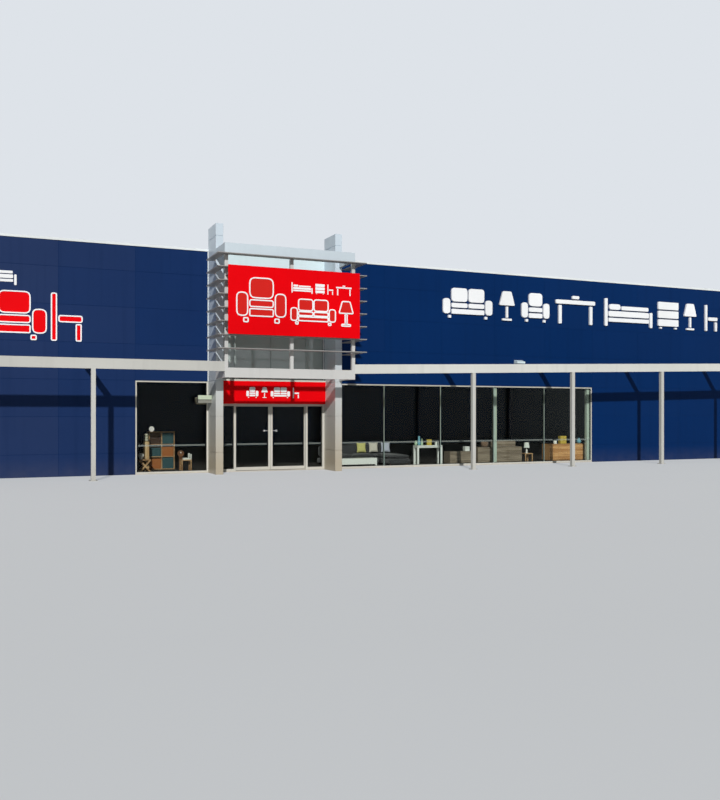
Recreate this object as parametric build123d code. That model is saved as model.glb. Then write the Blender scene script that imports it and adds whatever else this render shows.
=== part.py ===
# Furniture store: a long panel-clad hall with a glazed entrance tower and an open canopy frame.
# X runs along the shop front to the right, Y from the front to the back, Z up, in millimetres.
# Offsets along the front are counted from the middle of the entrance, positive to the right.
from build123d import *
import os

# Grid of the canopy posts and of the roof rafters
bay = 4000
left_wing_bays = 2
entrance_bays = 3
right_wing_bays = 4
grid_offset = 310
end_cover = 160
building_depth = 20000

# Floor, walls and roof
slab_top = 25
wall_thickness = 200
wall_top = 6880
coping_height = 70
coping_overhang = 30
window_head = 2840
roof_front_top = 6450
roof_fall = 300
roof_thickness = 120
roof_rib_pitch = 760
roof_rib_width = 70
roof_rib_height = 45
rafter_width = 200
rafter_depth = 400
rafter_flange = 20
rafter_web = 14
column_size = 120
column_setback = 110
window_column_shift = 120
end_column_inset = 105

# Shop windows
frame_bar = 45
frame_depth = 80
frame_setback = 20
glass_thickness = 12
pane_width = 2186
left_window_end = 4270
right_window_end = 12750
mullion_width = 20

# Entrance tower
tower_half_width = 2050
pylon_width = 230
pylon_reach = 970
pylon_top = 7580
door_head = 2150
header_top = 2870
header_band_depth = 100
header_trim_height = 55
tower_glass_top = 6100
tower_mullion_offset = 1200

# Entrance screen and its two sliding leaves
screen_depth = 100
doorway_half_width = 1165
screen_bar = 70
leaf_thickness = 50
running_clearance = 5
meeting_gap = 10
floor_clearance = 12
leaf_overlap = 45
leaf_stile = 66
leaf_bottom_rail = 100
leaf_top_rail = 60
leaf_travel = 1130
handle_length = 165
handle_bar = 26
handle_rose = 70
handle_level = 1290
track_wall = 5
hanger_stem = 10
hanger_length = 160
hanger_seat_gap = 0.3
track_end_margin = 60
operator_height = 180
operator_depth = 190

# Portal frame in front of the tower
canopy_reach = 2040
portal_bar = 100
lower_beam_bottom = 2890
lower_beam_top = 3175
hood_drop = 780
hood_depth = 290
louvre_top_gap = 60
louvre_pitch = 390
louvre_count = 8
louvre_width = 250
louvre_return_width = 220
louvre_thickness = 30
louvre_standoff = 50
louvre_hold = 60
sign_thickness = 50
sign_gap = 50
sign_top_gap = 410
sign_height = 1980
sign_arm = 60

# Canopy frame of the two wings
beam_width = 120
beam_depth = 285
left_beam_top = 3353
right_beam_start_top = 3355
right_beam_rise_per_bay = 102
post_size = 120
base_plate_size = 220
base_plate_thickness = 16
outrigger_width = 80
outrigger_depth = 200

# Wall light over the right canopy, and the small box sign on the left pylon
light_offset = 9390
light_level = 3730
light_width = 340
light_height = 130
light_reach = 220
box_sign_reach = 420
box_sign_thickness = 90
box_sign_setback = 400
box_sign_bottom = 2165
box_sign_height = 235

# Furniture on show: offset of the left side, distance from the wall's face, and size of each piece
bookcase_offset = -3580
bookcase_setback = 1750
bookcase_width = 830
bookcase_depth = 400
bookcase_height = 1230
bookcase_board = 25
side_table_offset = -2715
side_table_setback = 800
side_table_width = 320
side_table_height = 350
side_table_leg = 35
side_table_board = 30
cross_stool_offset = -4020
cross_stool_setback = 850
cross_stool_width = 360
cross_stool_height = 380
cross_stool_board = 30
coffee_table_offset = 2300
coffee_table_setback = 760
coffee_table_width = 1780
coffee_table_depth = 450
coffee_table_height = 270
coffee_table_leg = 60
sofa_offset = 2450
sofa_setback = 560
sofa_width = 2850
sofa_chaise_width = 850
sofa_chaise_depth = 950
sofa_depth = 900
sofa_seat = 390
sofa_back_height = 720
sofa_back_depth = 220
sofa_arm_width = 180
sofa_arm_height = 530
cushion_size = 400
cushion_thickness = 130
console_gap = 200
console_setback = 450
console_width = 1000
console_depth = 330
console_height = 690
console_top = 85
console_leg = 65
low_chest_gap = 340
low_chest_width = 900
low_chest_depth = 450
low_chest_height = 450
long_chest_gap = 260
long_chest_width = 1900
long_chest_height = 590
tall_chest_overhang = 50
tall_chest_width = 1050
tall_chest_height = 800
chest_setback = 500
chest_plinth = 40
chest_plinth_recess = 30
lamp_stool_gap = 270
lamp_stool_setback = 650
lamp_stool_size = 330
lamp_stool_height = 325
lamp_height = 400
lamp_base_radius = 70
lamp_shade_radius = 110
oak_sideboard_gap = 600
oak_sideboard_setback = 450
oak_sideboard_width = 1700
oak_sideboard_depth = 450
oak_sideboard_height = 660
oak_sideboard_plinth = 60

# Positions that follow from the sizes above
bay_count = left_wing_bays + entrance_bays + right_wing_bays
building_length = bay_count * bay + 2 * end_cover
left_end = -building_length / 2
right_end = building_length / 2
first_grid_line = left_end + end_cover
last_grid_line = right_end - end_cover
entrance_x = first_grid_line + (left_wing_bays + entrance_bays / 2) * bay - grid_offset
sign_reach = canopy_reach + louvre_standoff + louvre_width + sign_gap + sign_thickness
front_y = -(building_depth + coping_overhang + sign_reach) / 2 + sign_reach
back_y = front_y + building_depth
inner_front_y = front_y + wall_thickness
inner_back_y = back_y - wall_thickness
inner_left = left_end + wall_thickness
inner_right = right_end - wall_thickness
tower_inner_half = tower_half_width - pylon_width
hood_top = pylon_top - hood_drop
hood_bottom = hood_top - hood_depth
louvre_top_level = hood_bottom - louvre_top_gap
sign_top = hood_bottom - sign_top_gap
sign_bottom = sign_top - sign_height
right_beam_slope = right_beam_rise_per_bay / bay
console_offset = sofa_offset + sofa_width + console_gap
low_chest_offset = console_offset + console_width + low_chest_gap
long_chest_offset = low_chest_offset + low_chest_width + long_chest_gap
long_chest_end = long_chest_offset + long_chest_width
tall_chest_offset = long_chest_end + tall_chest_overhang - tall_chest_width
lamp_stool_offset = long_chest_end + lamp_stool_gap
oak_sideboard_offset = lamp_stool_offset + lamp_stool_size + oak_sideboard_gap
pylon_front_y = front_y - pylon_reach
beam_front_y = front_y - canopy_reach
beam_back_y = beam_front_y + beam_width


def block(x_range, y_range, z_range):
    """A straight-sided solid between three pairs of coordinates."""
    width = x_range[1] - x_range[0]
    depth = y_range[1] - y_range[0]
    height = z_range[1] - z_range[0]
    centre = (sum(x_range) / 2, sum(y_range) / 2, sum(z_range) / 2)
    return Pos(*centre) * Box(width, depth, height)


def around(middle, size):
    """The range of a size centred on a place."""
    return middle - size / 2, middle + size / 2


def mirrored_pair(inner, outer):
    """The left and the right X range of a piece that stands on both sides of the entrance."""
    left = (entrance_x - outer, entrance_x - inner)
    right = (entrance_x + inner, entrance_x + outer)
    return left, right


def elevation_prism(points, y_range):
    """A solid with the outline of (x, z) points, as seen from the front, between two depths."""
    outline = Plane.XZ * Polygon(*points, align=None)
    solid = extrude(outline, amount=-(y_range[1] - y_range[0]))
    return Pos(0, y_range[0], 0) * solid


def side_prism(points, x_range):
    """A solid with the outline of (y, z) points, as seen from the side, between two X values."""
    outline = Plane.YZ * Polygon(*points, align=None)
    solid = extrude(outline, amount=x_range[1] - x_range[0])
    return Pos(x_range[0], 0, 0) * solid


def save(name, *solids):
    """Write the solids of one sub-part to its own file."""
    os.makedirs("parts", exist_ok=True)
    shape = solids[0] if len(solids) == 1 else Compound(list(solids))
    export_step(shape, f"parts/{name}.step")


# Front wall, split beside and over the windows and the doorway
front_wall_y = (front_y, inner_front_y)
left_window_x = (entrance_x - left_window_end, entrance_x - tower_half_width)
right_window_x = (entrance_x + tower_half_width, entrance_x + right_window_end)
tower_x = (entrance_x - tower_inner_half, entrance_x + tower_inner_half)
lower_z = (0, window_head)
upper_z = (window_head, wall_top)
save("left_lower_front_wall", block((left_end, left_window_x[0]), front_wall_y, lower_z))
save("right_lower_front_wall", block((right_window_x[1], right_end), front_wall_y, lower_z))
save("left_upper_front_wall", block((left_end, tower_x[0]), front_wall_y, upper_z))
save("right_upper_front_wall", block((tower_x[1], right_end), front_wall_y, upper_z))

# Wall pieces round the entrance, only as deep as the screen so that the leaves run behind them
screen_y = (front_y, front_y + screen_depth)
glazed_z = (slab_top, window_head)
left_pier_x, right_pier_x = mirrored_pair(tower_inner_half, tower_half_width)
save("door_piers", *[block(pier_x, screen_y, glazed_z) for pier_x in (left_pier_x, right_pier_x)])
save("door_lintel", block(tower_x, screen_y, (door_head, header_top)))
save("tower_fascia", block(tower_x, front_wall_y, (tower_glass_top, wall_top)))

# End walls and back wall
full_z = (0, wall_top)
save("left_end_wall", block((left_end, inner_left), (inner_front_y, inner_back_y), full_z))
save("right_end_wall", block((inner_right, right_end), (inner_front_y, inner_back_y), full_z))
save("back_wall", block((left_end, right_end), (inner_back_y, back_y), full_z))

# Floor slab inside the walls, carried out to the wall's face under the glazing
slab_z = (0, slab_top)
glazed_x = (left_window_x[0], right_window_x[1])
floor_slab = block((inner_left, inner_right), (inner_front_y, inner_back_y), slab_z)
floor_slab += block(glazed_x, (front_y, inner_front_y), slab_z)
save("floor_slab", floor_slab)

# Copings along the wall tops, the front one notched round the pylons
coping_z = (wall_top, wall_top + coping_height)
coping_front = (front_y - coping_overhang, inner_front_y + coping_overhang)
coping_back = (inner_back_y - coping_overhang, back_y + coping_overhang)
coping_ends = (left_end - coping_overhang, right_end + coping_overhang)
coping_sides = (coping_front[1], coping_back[0])
front_coping = block(coping_ends, coping_front, coping_z)
for pylon_x in (left_pier_x, right_pier_x):
    front_coping -= block(pylon_x, (pylon_front_y, front_y), coping_z)
save("front_coping", front_coping)
save("back_coping", block(coping_ends, coping_back, coping_z))
left_coping_x = (coping_ends[0], inner_left + coping_overhang)
right_coping_x = (inner_right - coping_overhang, coping_ends[1])
end_xs = (left_coping_x, right_coping_x)
save("end_copings", *[block(coping_x, coping_sides, coping_z) for coping_x in end_xs])

# Roof deck falling to the back, with upstanding seams down the fall
roof_back_top = roof_front_top - roof_fall


def falling_strip(x_range, front_top, height):
    """A strip of constant height that falls with the roof from the front wall to the back wall."""
    profile = [
        (inner_front_y, front_top - height),
        (inner_back_y, front_top - roof_fall - height),
        (inner_back_y, front_top - roof_fall),
        (inner_front_y, front_top),
    ]
    return side_prism(profile, x_range)


roof_deck = falling_strip((inner_left, inner_right), roof_front_top, roof_thickness)
seam_count = int((inner_right - inner_left) / roof_rib_pitch)
first_seam = -(seam_count - 1) / 2 * roof_rib_pitch
for number in range(seam_count):
    seam_x = around(first_seam + number * roof_rib_pitch, roof_rib_width)
    roof_deck += falling_strip(seam_x, roof_front_top + roof_rib_height, roof_rib_height)
save("roof_deck", roof_deck)

# Rafters under the deck on the grid lines, rolled I sections that span from wall to wall
rafters = []
for number in range(1, bay_count):
    line = first_grid_line + bay * number
    rafter_top = roof_front_top - roof_thickness
    bottom_flange_top = rafter_top - rafter_depth + rafter_flange
    rafter = falling_strip(around(line, rafter_width), rafter_top, rafter_flange)
    web_height = rafter_depth - 2 * rafter_flange
    rafter += falling_strip(around(line, rafter_web), rafter_top - rafter_flange, web_height)
    rafter += falling_strip(around(line, rafter_width), bottom_flange_top, rafter_flange)
    rafters.append(rafter)
save("roof_rafters", *rafters)


def glazing(x_range, z_range, y_range, joints, bar):
    """A frame with a bar round its edge and one at each joint, and the panes that fill it."""
    frame = block(x_range, y_range, z_range)
    edges = [x_range[0] + bar]
    for joint in joints:
        edges += around(joint, mullion_width)
    edges.append(x_range[1] - bar)
    glass_y = around(sum(y_range) / 2, glass_thickness)
    pane_z = (z_range[0] + bar, z_range[1] - bar)
    panes = []
    for left, right in zip(edges[0::2], edges[1::2]):
        frame -= block((left, right), y_range, pane_z)
        panes.append(block((left, right), glass_y, pane_z))
    return frame, panes


# Shop windows on both sides of the tower
window_y = (front_y + frame_setback, front_y + frame_setback + frame_depth)
left_frame, left_panes = glazing(left_window_x, glazed_z, window_y, [], frame_bar)
save("left_window_frame", left_frame)
save("left_window_glass", *left_panes)
right_joints = [right_window_x[1] - pane_width * number for number in (4, 3, 2, 1)]
right_frame, right_panes = glazing(right_window_x, glazed_z, window_y, right_joints, frame_bar)
save("right_window_frame", right_frame)
save("right_window_glass", *right_panes)

# Two steel columns behind the long window, under the wall: by a glass joint and at its right end
column_y = (front_y + column_setback, front_y + column_setback + column_size)
columns = []
for column_x in (right_joints[2] + window_column_shift, right_window_x[1] - end_column_inset):
    columns.append(block(around(column_x, column_size), column_y, glazed_z))
save("steel_columns", *columns)

# Clad pylons that flank the entrance
pylon_y = (pylon_front_y, front_y)
save("left_pylon", block(left_pier_x, pylon_y, (0, pylon_top)))
save("right_pylon", block(right_pier_x, pylon_y, (0, pylon_top)))

# High window of the tower, the band over the doors and the white trim on top of the band
tower_joints = [entrance_x - tower_mullion_offset, entrance_x, entrance_x + tower_mullion_offset]
tower_frame, tower_panes = glazing(tower_x, (header_top, tower_glass_top), window_y, tower_joints, frame_bar)
save("tower_window_frame", tower_frame)
save("tower_window_glass", *tower_panes)
header_y = (front_y - header_band_depth, front_y)
save("header_band", block(tower_x, header_y, (door_head, header_top)))
trim_y = (front_y - header_band_depth, window_y[0])
save("header_trim", block(tower_x, trim_y, (header_top, header_top + header_trim_height)))

# Entrance screen: a fixed frame with a sidelight on each side of the doorway
screen_z = (slab_top, door_head)
light_z = (slab_top + screen_bar, door_head - screen_bar)
screen = block(tower_x, screen_y, screen_z)
doorway_x = (entrance_x - doorway_half_width, entrance_x + doorway_half_width)
screen -= block(doorway_x, screen_y, (slab_top, light_z[1]))
sidelight_y = around(sum(screen_y) / 2, glass_thickness)
sidelights = []
for sidelight_x in mirrored_pair(doorway_half_width + screen_bar, tower_inner_half - screen_bar):
    screen -= block(sidelight_x, screen_y, light_z)
    sidelights.append(block(sidelight_x, sidelight_y, light_z))
save("entrance_screen", screen)
save("sidelight_glass", *sidelights)

# Sliding leaves behind the screen, each hung from two T-shaped hangers in the track
leaf_y = (screen_y[1] + running_clearance, screen_y[1] + running_clearance + leaf_thickness)
leaf_z = (slab_top + floor_clearance, light_z[1] + leaf_overlap)
leaf_middle_y = sum(leaf_y) / 2
leaf_glass_y = around(leaf_middle_y, glass_thickness)
leaf_inner = meeting_gap / 2
leaf_outer = doorway_half_width + leaf_overlap
track_bottom = leaf_z[1] + running_clearance
lip_top = track_bottom + track_wall
head_width = leaf_thickness - 2 * running_clearance
head_thickness = 20
head_z = (lip_top + hanger_seat_gap, lip_top + hanger_seat_gap + head_thickness)
track_inner_top = head_z[1] + running_clearance
leaf_pane_z = (leaf_z[0] + leaf_bottom_rail, leaf_z[1] - leaf_top_rail)
leaf_sides = mirrored_pair(leaf_inner, leaf_outer)
pane_sides = mirrored_pair(leaf_inner + leaf_stile, leaf_outer - leaf_stile)
handle_sides = mirrored_pair(leaf_inner + leaf_stile, leaf_inner + leaf_stile + handle_length)
rose_sides = mirrored_pair(leaf_inner + leaf_stile + handle_length - handle_bar,
                           leaf_inner + leaf_stile + handle_length)
for side, leaf_x, pane_x, handle_x, rose_x in zip(("left", "right"), leaf_sides, pane_sides,
                                                  handle_sides, rose_sides):
    leaf = block(leaf_x, leaf_y, leaf_z) - block(pane_x, leaf_y, leaf_pane_z)
    for hanger_x in (leaf_x[0] + hanger_length, leaf_x[1] - hanger_length):
        span = around(hanger_x, hanger_length)
        leaf += block(span, around(leaf_middle_y, hanger_stem), (leaf_z[1], head_z[1]))
        leaf += block(span, around(leaf_middle_y, head_width), head_z)
    save(f"{side}_leaf_frame", leaf)
    save(f"{side}_leaf_glass", block(pane_x, leaf_glass_y, leaf_pane_z))
    handles = []
    for handle_y in ((leaf_y[0], leaf_glass_y[0]), (leaf_glass_y[1], leaf_y[1])):
        handle = block(handle_x, handle_y, around(handle_level, handle_bar))
        handle += block(rose_x, handle_y, around(handle_level, handle_rose))
        handles.append(handle)
    save(f"{side}_leaf_handles", *handles)

# Track that carries the hangers, with the operator casing above it
track_half = leaf_outer + leaf_travel + track_end_margin
track_x = (entrance_x - track_half, entrance_x + track_half)
track_outer_y = (leaf_y[0] - track_wall, leaf_y[1] + track_wall)
slot_width = hanger_stem + 2 * running_clearance
track = block(track_x, track_outer_y, (track_bottom, track_inner_top + track_wall))
track -= block(track_x, leaf_y, (lip_top, track_inner_top))
track -= block(track_x, around(leaf_middle_y, slot_width), (track_bottom, lip_top))
save("door_track", track)
operator_z = (track_inner_top + track_wall, track_inner_top + track_wall + operator_height)
save("door_operator", block(track_x, (screen_y[1], screen_y[1] + operator_depth), operator_z))

# Portal frame: a lower frame and a hood tied back to the pylons, and three posts between them
left_bar_x, right_bar_x = mirrored_pair(tower_half_width - portal_bar, tower_half_width)
portal_x = (entrance_x - tower_half_width, entrance_x + tower_half_width)


def portal_ring(z_range):
    """A front beam with a return at each end that runs back to the pylons."""
    ring = block(portal_x, (beam_front_y, beam_front_y + portal_bar), z_range)
    for bar_x in (left_bar_x, right_bar_x):
        ring += block(bar_x, (beam_front_y + portal_bar, pylon_front_y), z_range)
    return ring


save("portal_lower_frame", portal_ring((lower_beam_bottom, lower_beam_top)))
save("portal_hood", portal_ring((hood_bottom, hood_top)))
portal_post_y = (beam_front_y, beam_front_y + portal_bar)
portal_post_z = (lower_beam_top, hood_bottom)
portal_post_xs = (left_bar_x, around(entrance_x, portal_bar), right_bar_x)
save("portal_posts", *[block(post_x, portal_post_y, portal_post_z) for post_x in portal_post_xs])

# Flat louvre blades that run round the portal and back to the pylons, with rounded noses
louvre_inner = tower_half_width + louvre_standoff
louvre_outer = louvre_inner + louvre_return_width
blade_back_y = beam_front_y - louvre_standoff
blade_front_y = blade_back_y - louvre_width
blade_end_y = pylon_front_y + louvre_hold
nose_radius = 0.45 * louvre_thickness
louvres = []
brackets = []
for number in range(louvre_count):
    level = louvre_top_level - number * louvre_pitch
    blade_z = around(level, louvre_thickness)
    outer_x = (entrance_x - louvre_outer, entrance_x + louvre_outer)
    blade = block(outer_x, (blade_front_y, blade_end_y), blade_z)
    nose_edges = blade.faces().sort_by(Axis.Y)[0].edges().filter_by(Axis.X)
    blade = fillet(nose_edges, nose_radius)
    inner_x = (entrance_x - louvre_inner, entrance_x + louvre_inner)
    blade -= block(inner_x, (blade_back_y, blade_end_y), blade_z)
    louvres.append(blade)
    for post_x in portal_post_xs:
        brackets.append(block(post_x, (blade_back_y, beam_front_y), blade_z))
    for gap_x in ((inner_x[0], portal_x[0]), (portal_x[1], inner_x[1])):
        brackets.append(block(gap_x, (pylon_front_y, blade_end_y), blade_z))
save("portal_louvres", *louvres)

# Sign board in front of the louvres, on six arms from the portal posts
sign_back_y = blade_front_y - sign_gap
sign_y = (sign_back_y - sign_thickness, sign_back_y)
save("sign_board", block(portal_x, sign_y, (sign_bottom, sign_top)))
for gap_number in (1, 5):
    arm_level = louvre_top_level - (gap_number + 0.5) * louvre_pitch
    for post_x in portal_post_xs:
        arm_x = around(sum(post_x) / 2, sign_arm)
        brackets.append(block(arm_x, (sign_back_y, beam_front_y), around(arm_level, sign_arm)))
save("portal_brackets", *brackets)

# Canopy beams: the left one level, the right one rising away from the entrance
right_beam_start = entrance_x + tower_half_width


def right_beam_top(x):
    """Height of the right beam's top edge at a place along the front."""
    return right_beam_start_top + right_beam_slope * (x - right_beam_start)


def rising_bar(x_range, y_range, bottom_drop, top_drop):
    """A bar that rises with the right beam, between two drops below the beam's top edge."""
    outline = [
        (x_range[0], right_beam_top(x_range[0]) - bottom_drop),
        (x_range[1], right_beam_top(x_range[1]) - bottom_drop),
        (x_range[1], right_beam_top(x_range[1]) - top_drop),
        (x_range[0], right_beam_top(x_range[0]) - top_drop),
    ]
    return elevation_prism(outline, y_range)


beam_y = (beam_front_y, beam_back_y)
left_beam_x = (first_grid_line - post_size / 2, portal_x[0])
left_beam_z = (left_beam_top - beam_depth, left_beam_top)
right_beam_x = (right_beam_start, last_grid_line + post_size / 2)
save("left_canopy_beam", block(left_beam_x, beam_y, left_beam_z))
save("right_canopy_beam", rising_bar(right_beam_x, beam_y, beam_depth, 0))

# Canopy posts on the grid lines with their base plates, and an outrigger from each back to the wall
left_lines = [first_grid_line + bay * number for number in range(left_wing_bays + 1)]
right_lines = [last_grid_line - bay * number for number in range(right_wing_bays + 1)]
post_y = (beam_front_y, beam_front_y + post_size)
plate_y = around(sum(post_y) / 2, base_plate_size)
outrigger_y = (beam_back_y, front_y)
posts = []
outriggers = []
for line in left_lines:
    post = block(around(line, post_size), post_y, (0, left_beam_z[0]))
    posts.append(post + block(around(line, base_plate_size), plate_y, (0, base_plate_thickness)))
    arm_z = (left_beam_top - outrigger_depth, left_beam_top)
    outriggers.append(block(around(line, outrigger_width), outrigger_y, arm_z))
for line in right_lines:
    near, far = around(line, post_size)
    outline = [
        (near, 0),
        (far, 0),
        (far, right_beam_top(far) - beam_depth),
        (near, right_beam_top(near) - beam_depth),
    ]
    post = elevation_prism(outline, post_y)
    posts.append(post + block(around(line, base_plate_size), plate_y, (0, base_plate_thickness)))
    outriggers.append(rising_bar(around(line, outrigger_width), outrigger_y, outrigger_depth, 0))
save("canopy_posts", *posts)
save("canopy_outriggers", *outriggers)

# Small floodlight on the wall over the right canopy
light_profile = [
    (front_y, light_level - light_height / 2),
    (front_y, light_level + light_height / 2),
    (front_y - light_reach, light_level),
    (front_y - light_reach, light_level - light_height / 2),
]
save("wall_light", side_prism(light_profile, around(entrance_x + light_offset, light_width)))

# Plain box sign that stands out sideways from the left pylon
box_sign_x = (left_pier_x[0] - box_sign_reach, left_pier_x[0])
box_sign_y = around(front_y - box_sign_setback, box_sign_thickness)
save("box_sign", block(box_sign_x, box_sign_y, (box_sign_bottom, box_sign_bottom + box_sign_height)))


def floor_piece(offset, setback, width, depth, height, bottom=0):
    """A straight-sided solid that stands on the shop floor, or at a height above it."""
    x_start = entrance_x + offset
    y_start = front_y + setback
    z_start = slab_top + bottom
    return block((x_start, x_start + width), (y_start, y_start + depth), (z_start, z_start + height))


# Open bookcase in the left window, two bays of three shelves with a back
bookcase = floor_piece(bookcase_offset, bookcase_setback, bookcase_width, bookcase_depth, bookcase_height)
cell_width = (bookcase_width - 3 * bookcase_board) / 2
cell_height = (bookcase_height - 4 * bookcase_board) / 3
for column in range(2):
    for row in range(3):
        cell_offset = bookcase_offset + bookcase_board + column * (cell_width + bookcase_board)
        cell_bottom = bookcase_board + row * (cell_height + bookcase_board)
        cell_depth = bookcase_depth - bookcase_board
        bookcase -= floor_piece(cell_offset, bookcase_setback, cell_width, cell_depth,
                                cell_height, cell_bottom)
save("bookcase", bookcase)


def four_leg_table(offset, setback, width, depth, height, board, leg):
    """A table with a solid top and a square leg under each corner."""
    table = floor_piece(offset, setback, width, depth, board, height - board)
    for leg_offset in (offset, offset + width - leg):
        for leg_setback in (setback, setback + depth - leg):
            table += floor_piece(leg_offset, leg_setback, leg, leg, height - board)
    return table


# Small tables: a side table and a cross-legged stool on the left, a lamp stool on the right
side_table = four_leg_table(side_table_offset, side_table_setback, side_table_width, side_table_width,
                            side_table_height, side_table_board, side_table_leg)
cross_stool = floor_piece(cross_stool_offset, cross_stool_setback, cross_stool_width, cross_stool_width,
                          cross_stool_board, cross_stool_height - cross_stool_board)
stool_left = entrance_x + cross_stool_offset
stool_right = stool_left + cross_stool_width
leg_top = slab_top + cross_stool_height - cross_stool_board
leg_run = 2 * cross_stool_board
for low_x, high_x in ((stool_left, stool_right - leg_run), (stool_right - leg_run, stool_left)):
    outline = [(low_x, slab_top), (low_x + leg_run, slab_top), (high_x + leg_run, leg_top), (high_x, leg_top)]
    for leg_setback in (cross_stool_setback, cross_stool_setback + cross_stool_width - cross_stool_board):
        leg_y = (front_y + leg_setback, front_y + leg_setback + cross_stool_board)
        cross_stool += elevation_prism(outline, leg_y)
lamp_stool = four_leg_table(lamp_stool_offset, lamp_stool_setback, lamp_stool_size, lamp_stool_size,
                            lamp_stool_height, side_table_board, side_table_leg)
save("small_tables", side_table, cross_stool, lamp_stool)

# Table lamp on the lamp stool: a turned foot and a drum shade
lamp_place = Pos(
    entrance_x + lamp_stool_offset + lamp_stool_size / 2,
    front_y + lamp_stool_setback + lamp_stool_size / 2,
    slab_top + lamp_stool_height,
)
lamp_outline = Plane.XZ * Polygon(
    (0, 0),
    (lamp_base_radius, 0),
    (lamp_base_radius, 0.06 * lamp_height),
    (0.2 * lamp_base_radius, 0.2 * lamp_height),
    (0.2 * lamp_base_radius, 0.5 * lamp_height),
    (lamp_shade_radius, 0.5 * lamp_height),
    (0.8 * lamp_shade_radius, lamp_height),
    (0, lamp_height),
    align=None,
)
save("table_lamp", lamp_place * revolve(lamp_outline, Axis.Z))

# White coffee table in front of the sofa
coffee_table_board = coffee_table_height - coffee_table_leg
coffee_table = four_leg_table(coffee_table_offset, coffee_table_setback, coffee_table_width,
                              coffee_table_depth, coffee_table_height, coffee_table_board,
                              coffee_table_leg)
save("coffee_table", coffee_table)

# Corner sofa: a seat with a chaise that comes forward on the right, a back and an arm
sofa_seat_setback = sofa_setback + sofa_chaise_depth
chaise_offset = sofa_offset + sofa_width - sofa_chaise_width
sofa = floor_piece(sofa_offset, sofa_seat_setback, sofa_width, sofa_depth, sofa_seat)
sofa += floor_piece(chaise_offset, sofa_setback, sofa_chaise_width, sofa_chaise_depth, sofa_seat)
back_setback = sofa_seat_setback + sofa_depth - sofa_back_depth
sofa += floor_piece(sofa_offset, back_setback, sofa_width, sofa_back_depth, sofa_back_height)
sofa += floor_piece(sofa_offset, sofa_seat_setback, sofa_arm_width,
                    sofa_depth - sofa_back_depth, sofa_arm_height)
save("sofa", sofa)
cushions = []
for share in (0.50, 0.67, 0.84):
    cushion_offset = sofa_offset + share * sofa_width
    cushion_setback = back_setback - cushion_thickness
    cushions.append(floor_piece(cushion_offset, cushion_setback, cushion_size, cushion_thickness,
                                cushion_size, sofa_seat))
save("sofa_cushions", *cushions)

# White console table
save("console_table", four_leg_table(console_offset, console_setback, console_width, console_depth,
                                     console_height, console_top, console_leg))


def chest(offset, setback, width, depth, height, plinth):
    """A closed chest on a plinth that is set back under its front."""
    body = floor_piece(offset, setback, width, depth, height - plinth, plinth)
    body += floor_piece(offset + chest_plinth_recess, setback + chest_plinth_recess,
                        width - 2 * chest_plinth_recess, depth - chest_plinth_recess, plinth)
    return body


# Grey-brown chests: a low one, a long one and a taller one behind it
low_chest = chest(low_chest_offset, chest_setback, low_chest_width, low_chest_depth,
                  low_chest_height, chest_plinth)
long_chest = chest(long_chest_offset, chest_setback, long_chest_width, low_chest_depth,
                   long_chest_height, chest_plinth)
tall_chest_setback = chest_setback + low_chest_depth + chest_plinth
tall_chest = chest(tall_chest_offset, tall_chest_setback, tall_chest_width, low_chest_depth,
                   tall_chest_height, chest_plinth)
save("grey_chests", low_chest, long_chest, tall_chest)

# Oak sideboard at the right end of the long window
save("oak_sideboard", chest(oak_sideboard_offset, oak_sideboard_setback, oak_sideboard_width,
                            oak_sideboard_depth, oak_sideboard_height, oak_sideboard_plinth))
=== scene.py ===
# Furniture store, dressed: a panel-clad hall with a glazed entrance tower and an open canopy frame.
# Metres, X to the right along the shop front, Y from the front to the back, Z up.
import math

import bmesh
import bpy
import numpy as np
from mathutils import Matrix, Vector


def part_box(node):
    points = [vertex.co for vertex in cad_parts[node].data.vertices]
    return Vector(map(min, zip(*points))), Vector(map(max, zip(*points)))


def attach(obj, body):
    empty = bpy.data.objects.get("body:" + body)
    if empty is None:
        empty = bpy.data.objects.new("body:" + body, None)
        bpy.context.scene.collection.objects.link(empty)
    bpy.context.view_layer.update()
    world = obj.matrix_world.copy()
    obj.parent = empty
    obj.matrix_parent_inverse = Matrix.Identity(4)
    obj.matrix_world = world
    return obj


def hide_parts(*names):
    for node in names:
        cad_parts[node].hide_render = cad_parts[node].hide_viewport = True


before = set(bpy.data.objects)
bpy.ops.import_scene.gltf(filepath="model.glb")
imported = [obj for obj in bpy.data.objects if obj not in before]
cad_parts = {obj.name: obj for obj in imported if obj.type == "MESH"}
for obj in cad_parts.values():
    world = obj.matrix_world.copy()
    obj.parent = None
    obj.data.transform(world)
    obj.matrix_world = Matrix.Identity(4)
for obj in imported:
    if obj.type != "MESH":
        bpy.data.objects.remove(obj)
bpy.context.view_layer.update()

# Camera: level, standing in front of the left wing and looking to the right along the front.
# Its place and lens come from the canopy posts, which stand 4 m apart.
camera_place = (-12.504, -34.789, 1.827)
camera_heading = math.radians(-23.487)
camera_lens = 37.99
camera_shift = 0.0175
camera_sensor = 36
camera_sight = 500
camera_data = bpy.data.cameras.new("shop_front_view")
camera_data.lens = camera_lens
camera_data.sensor_width = camera_sensor
camera_data.shift_y = camera_shift
camera_data.clip_end = camera_sight
camera = bpy.data.objects.new("shop_front_view", camera_data)
camera.location = camera_place
camera.rotation_euler = (math.pi / 2, 0, camera_heading)
bpy.context.scene.collection.objects.link(camera)
bpy.context.scene.camera = camera
bpy.context.scene.view_settings.view_transform = "Standard"

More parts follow.
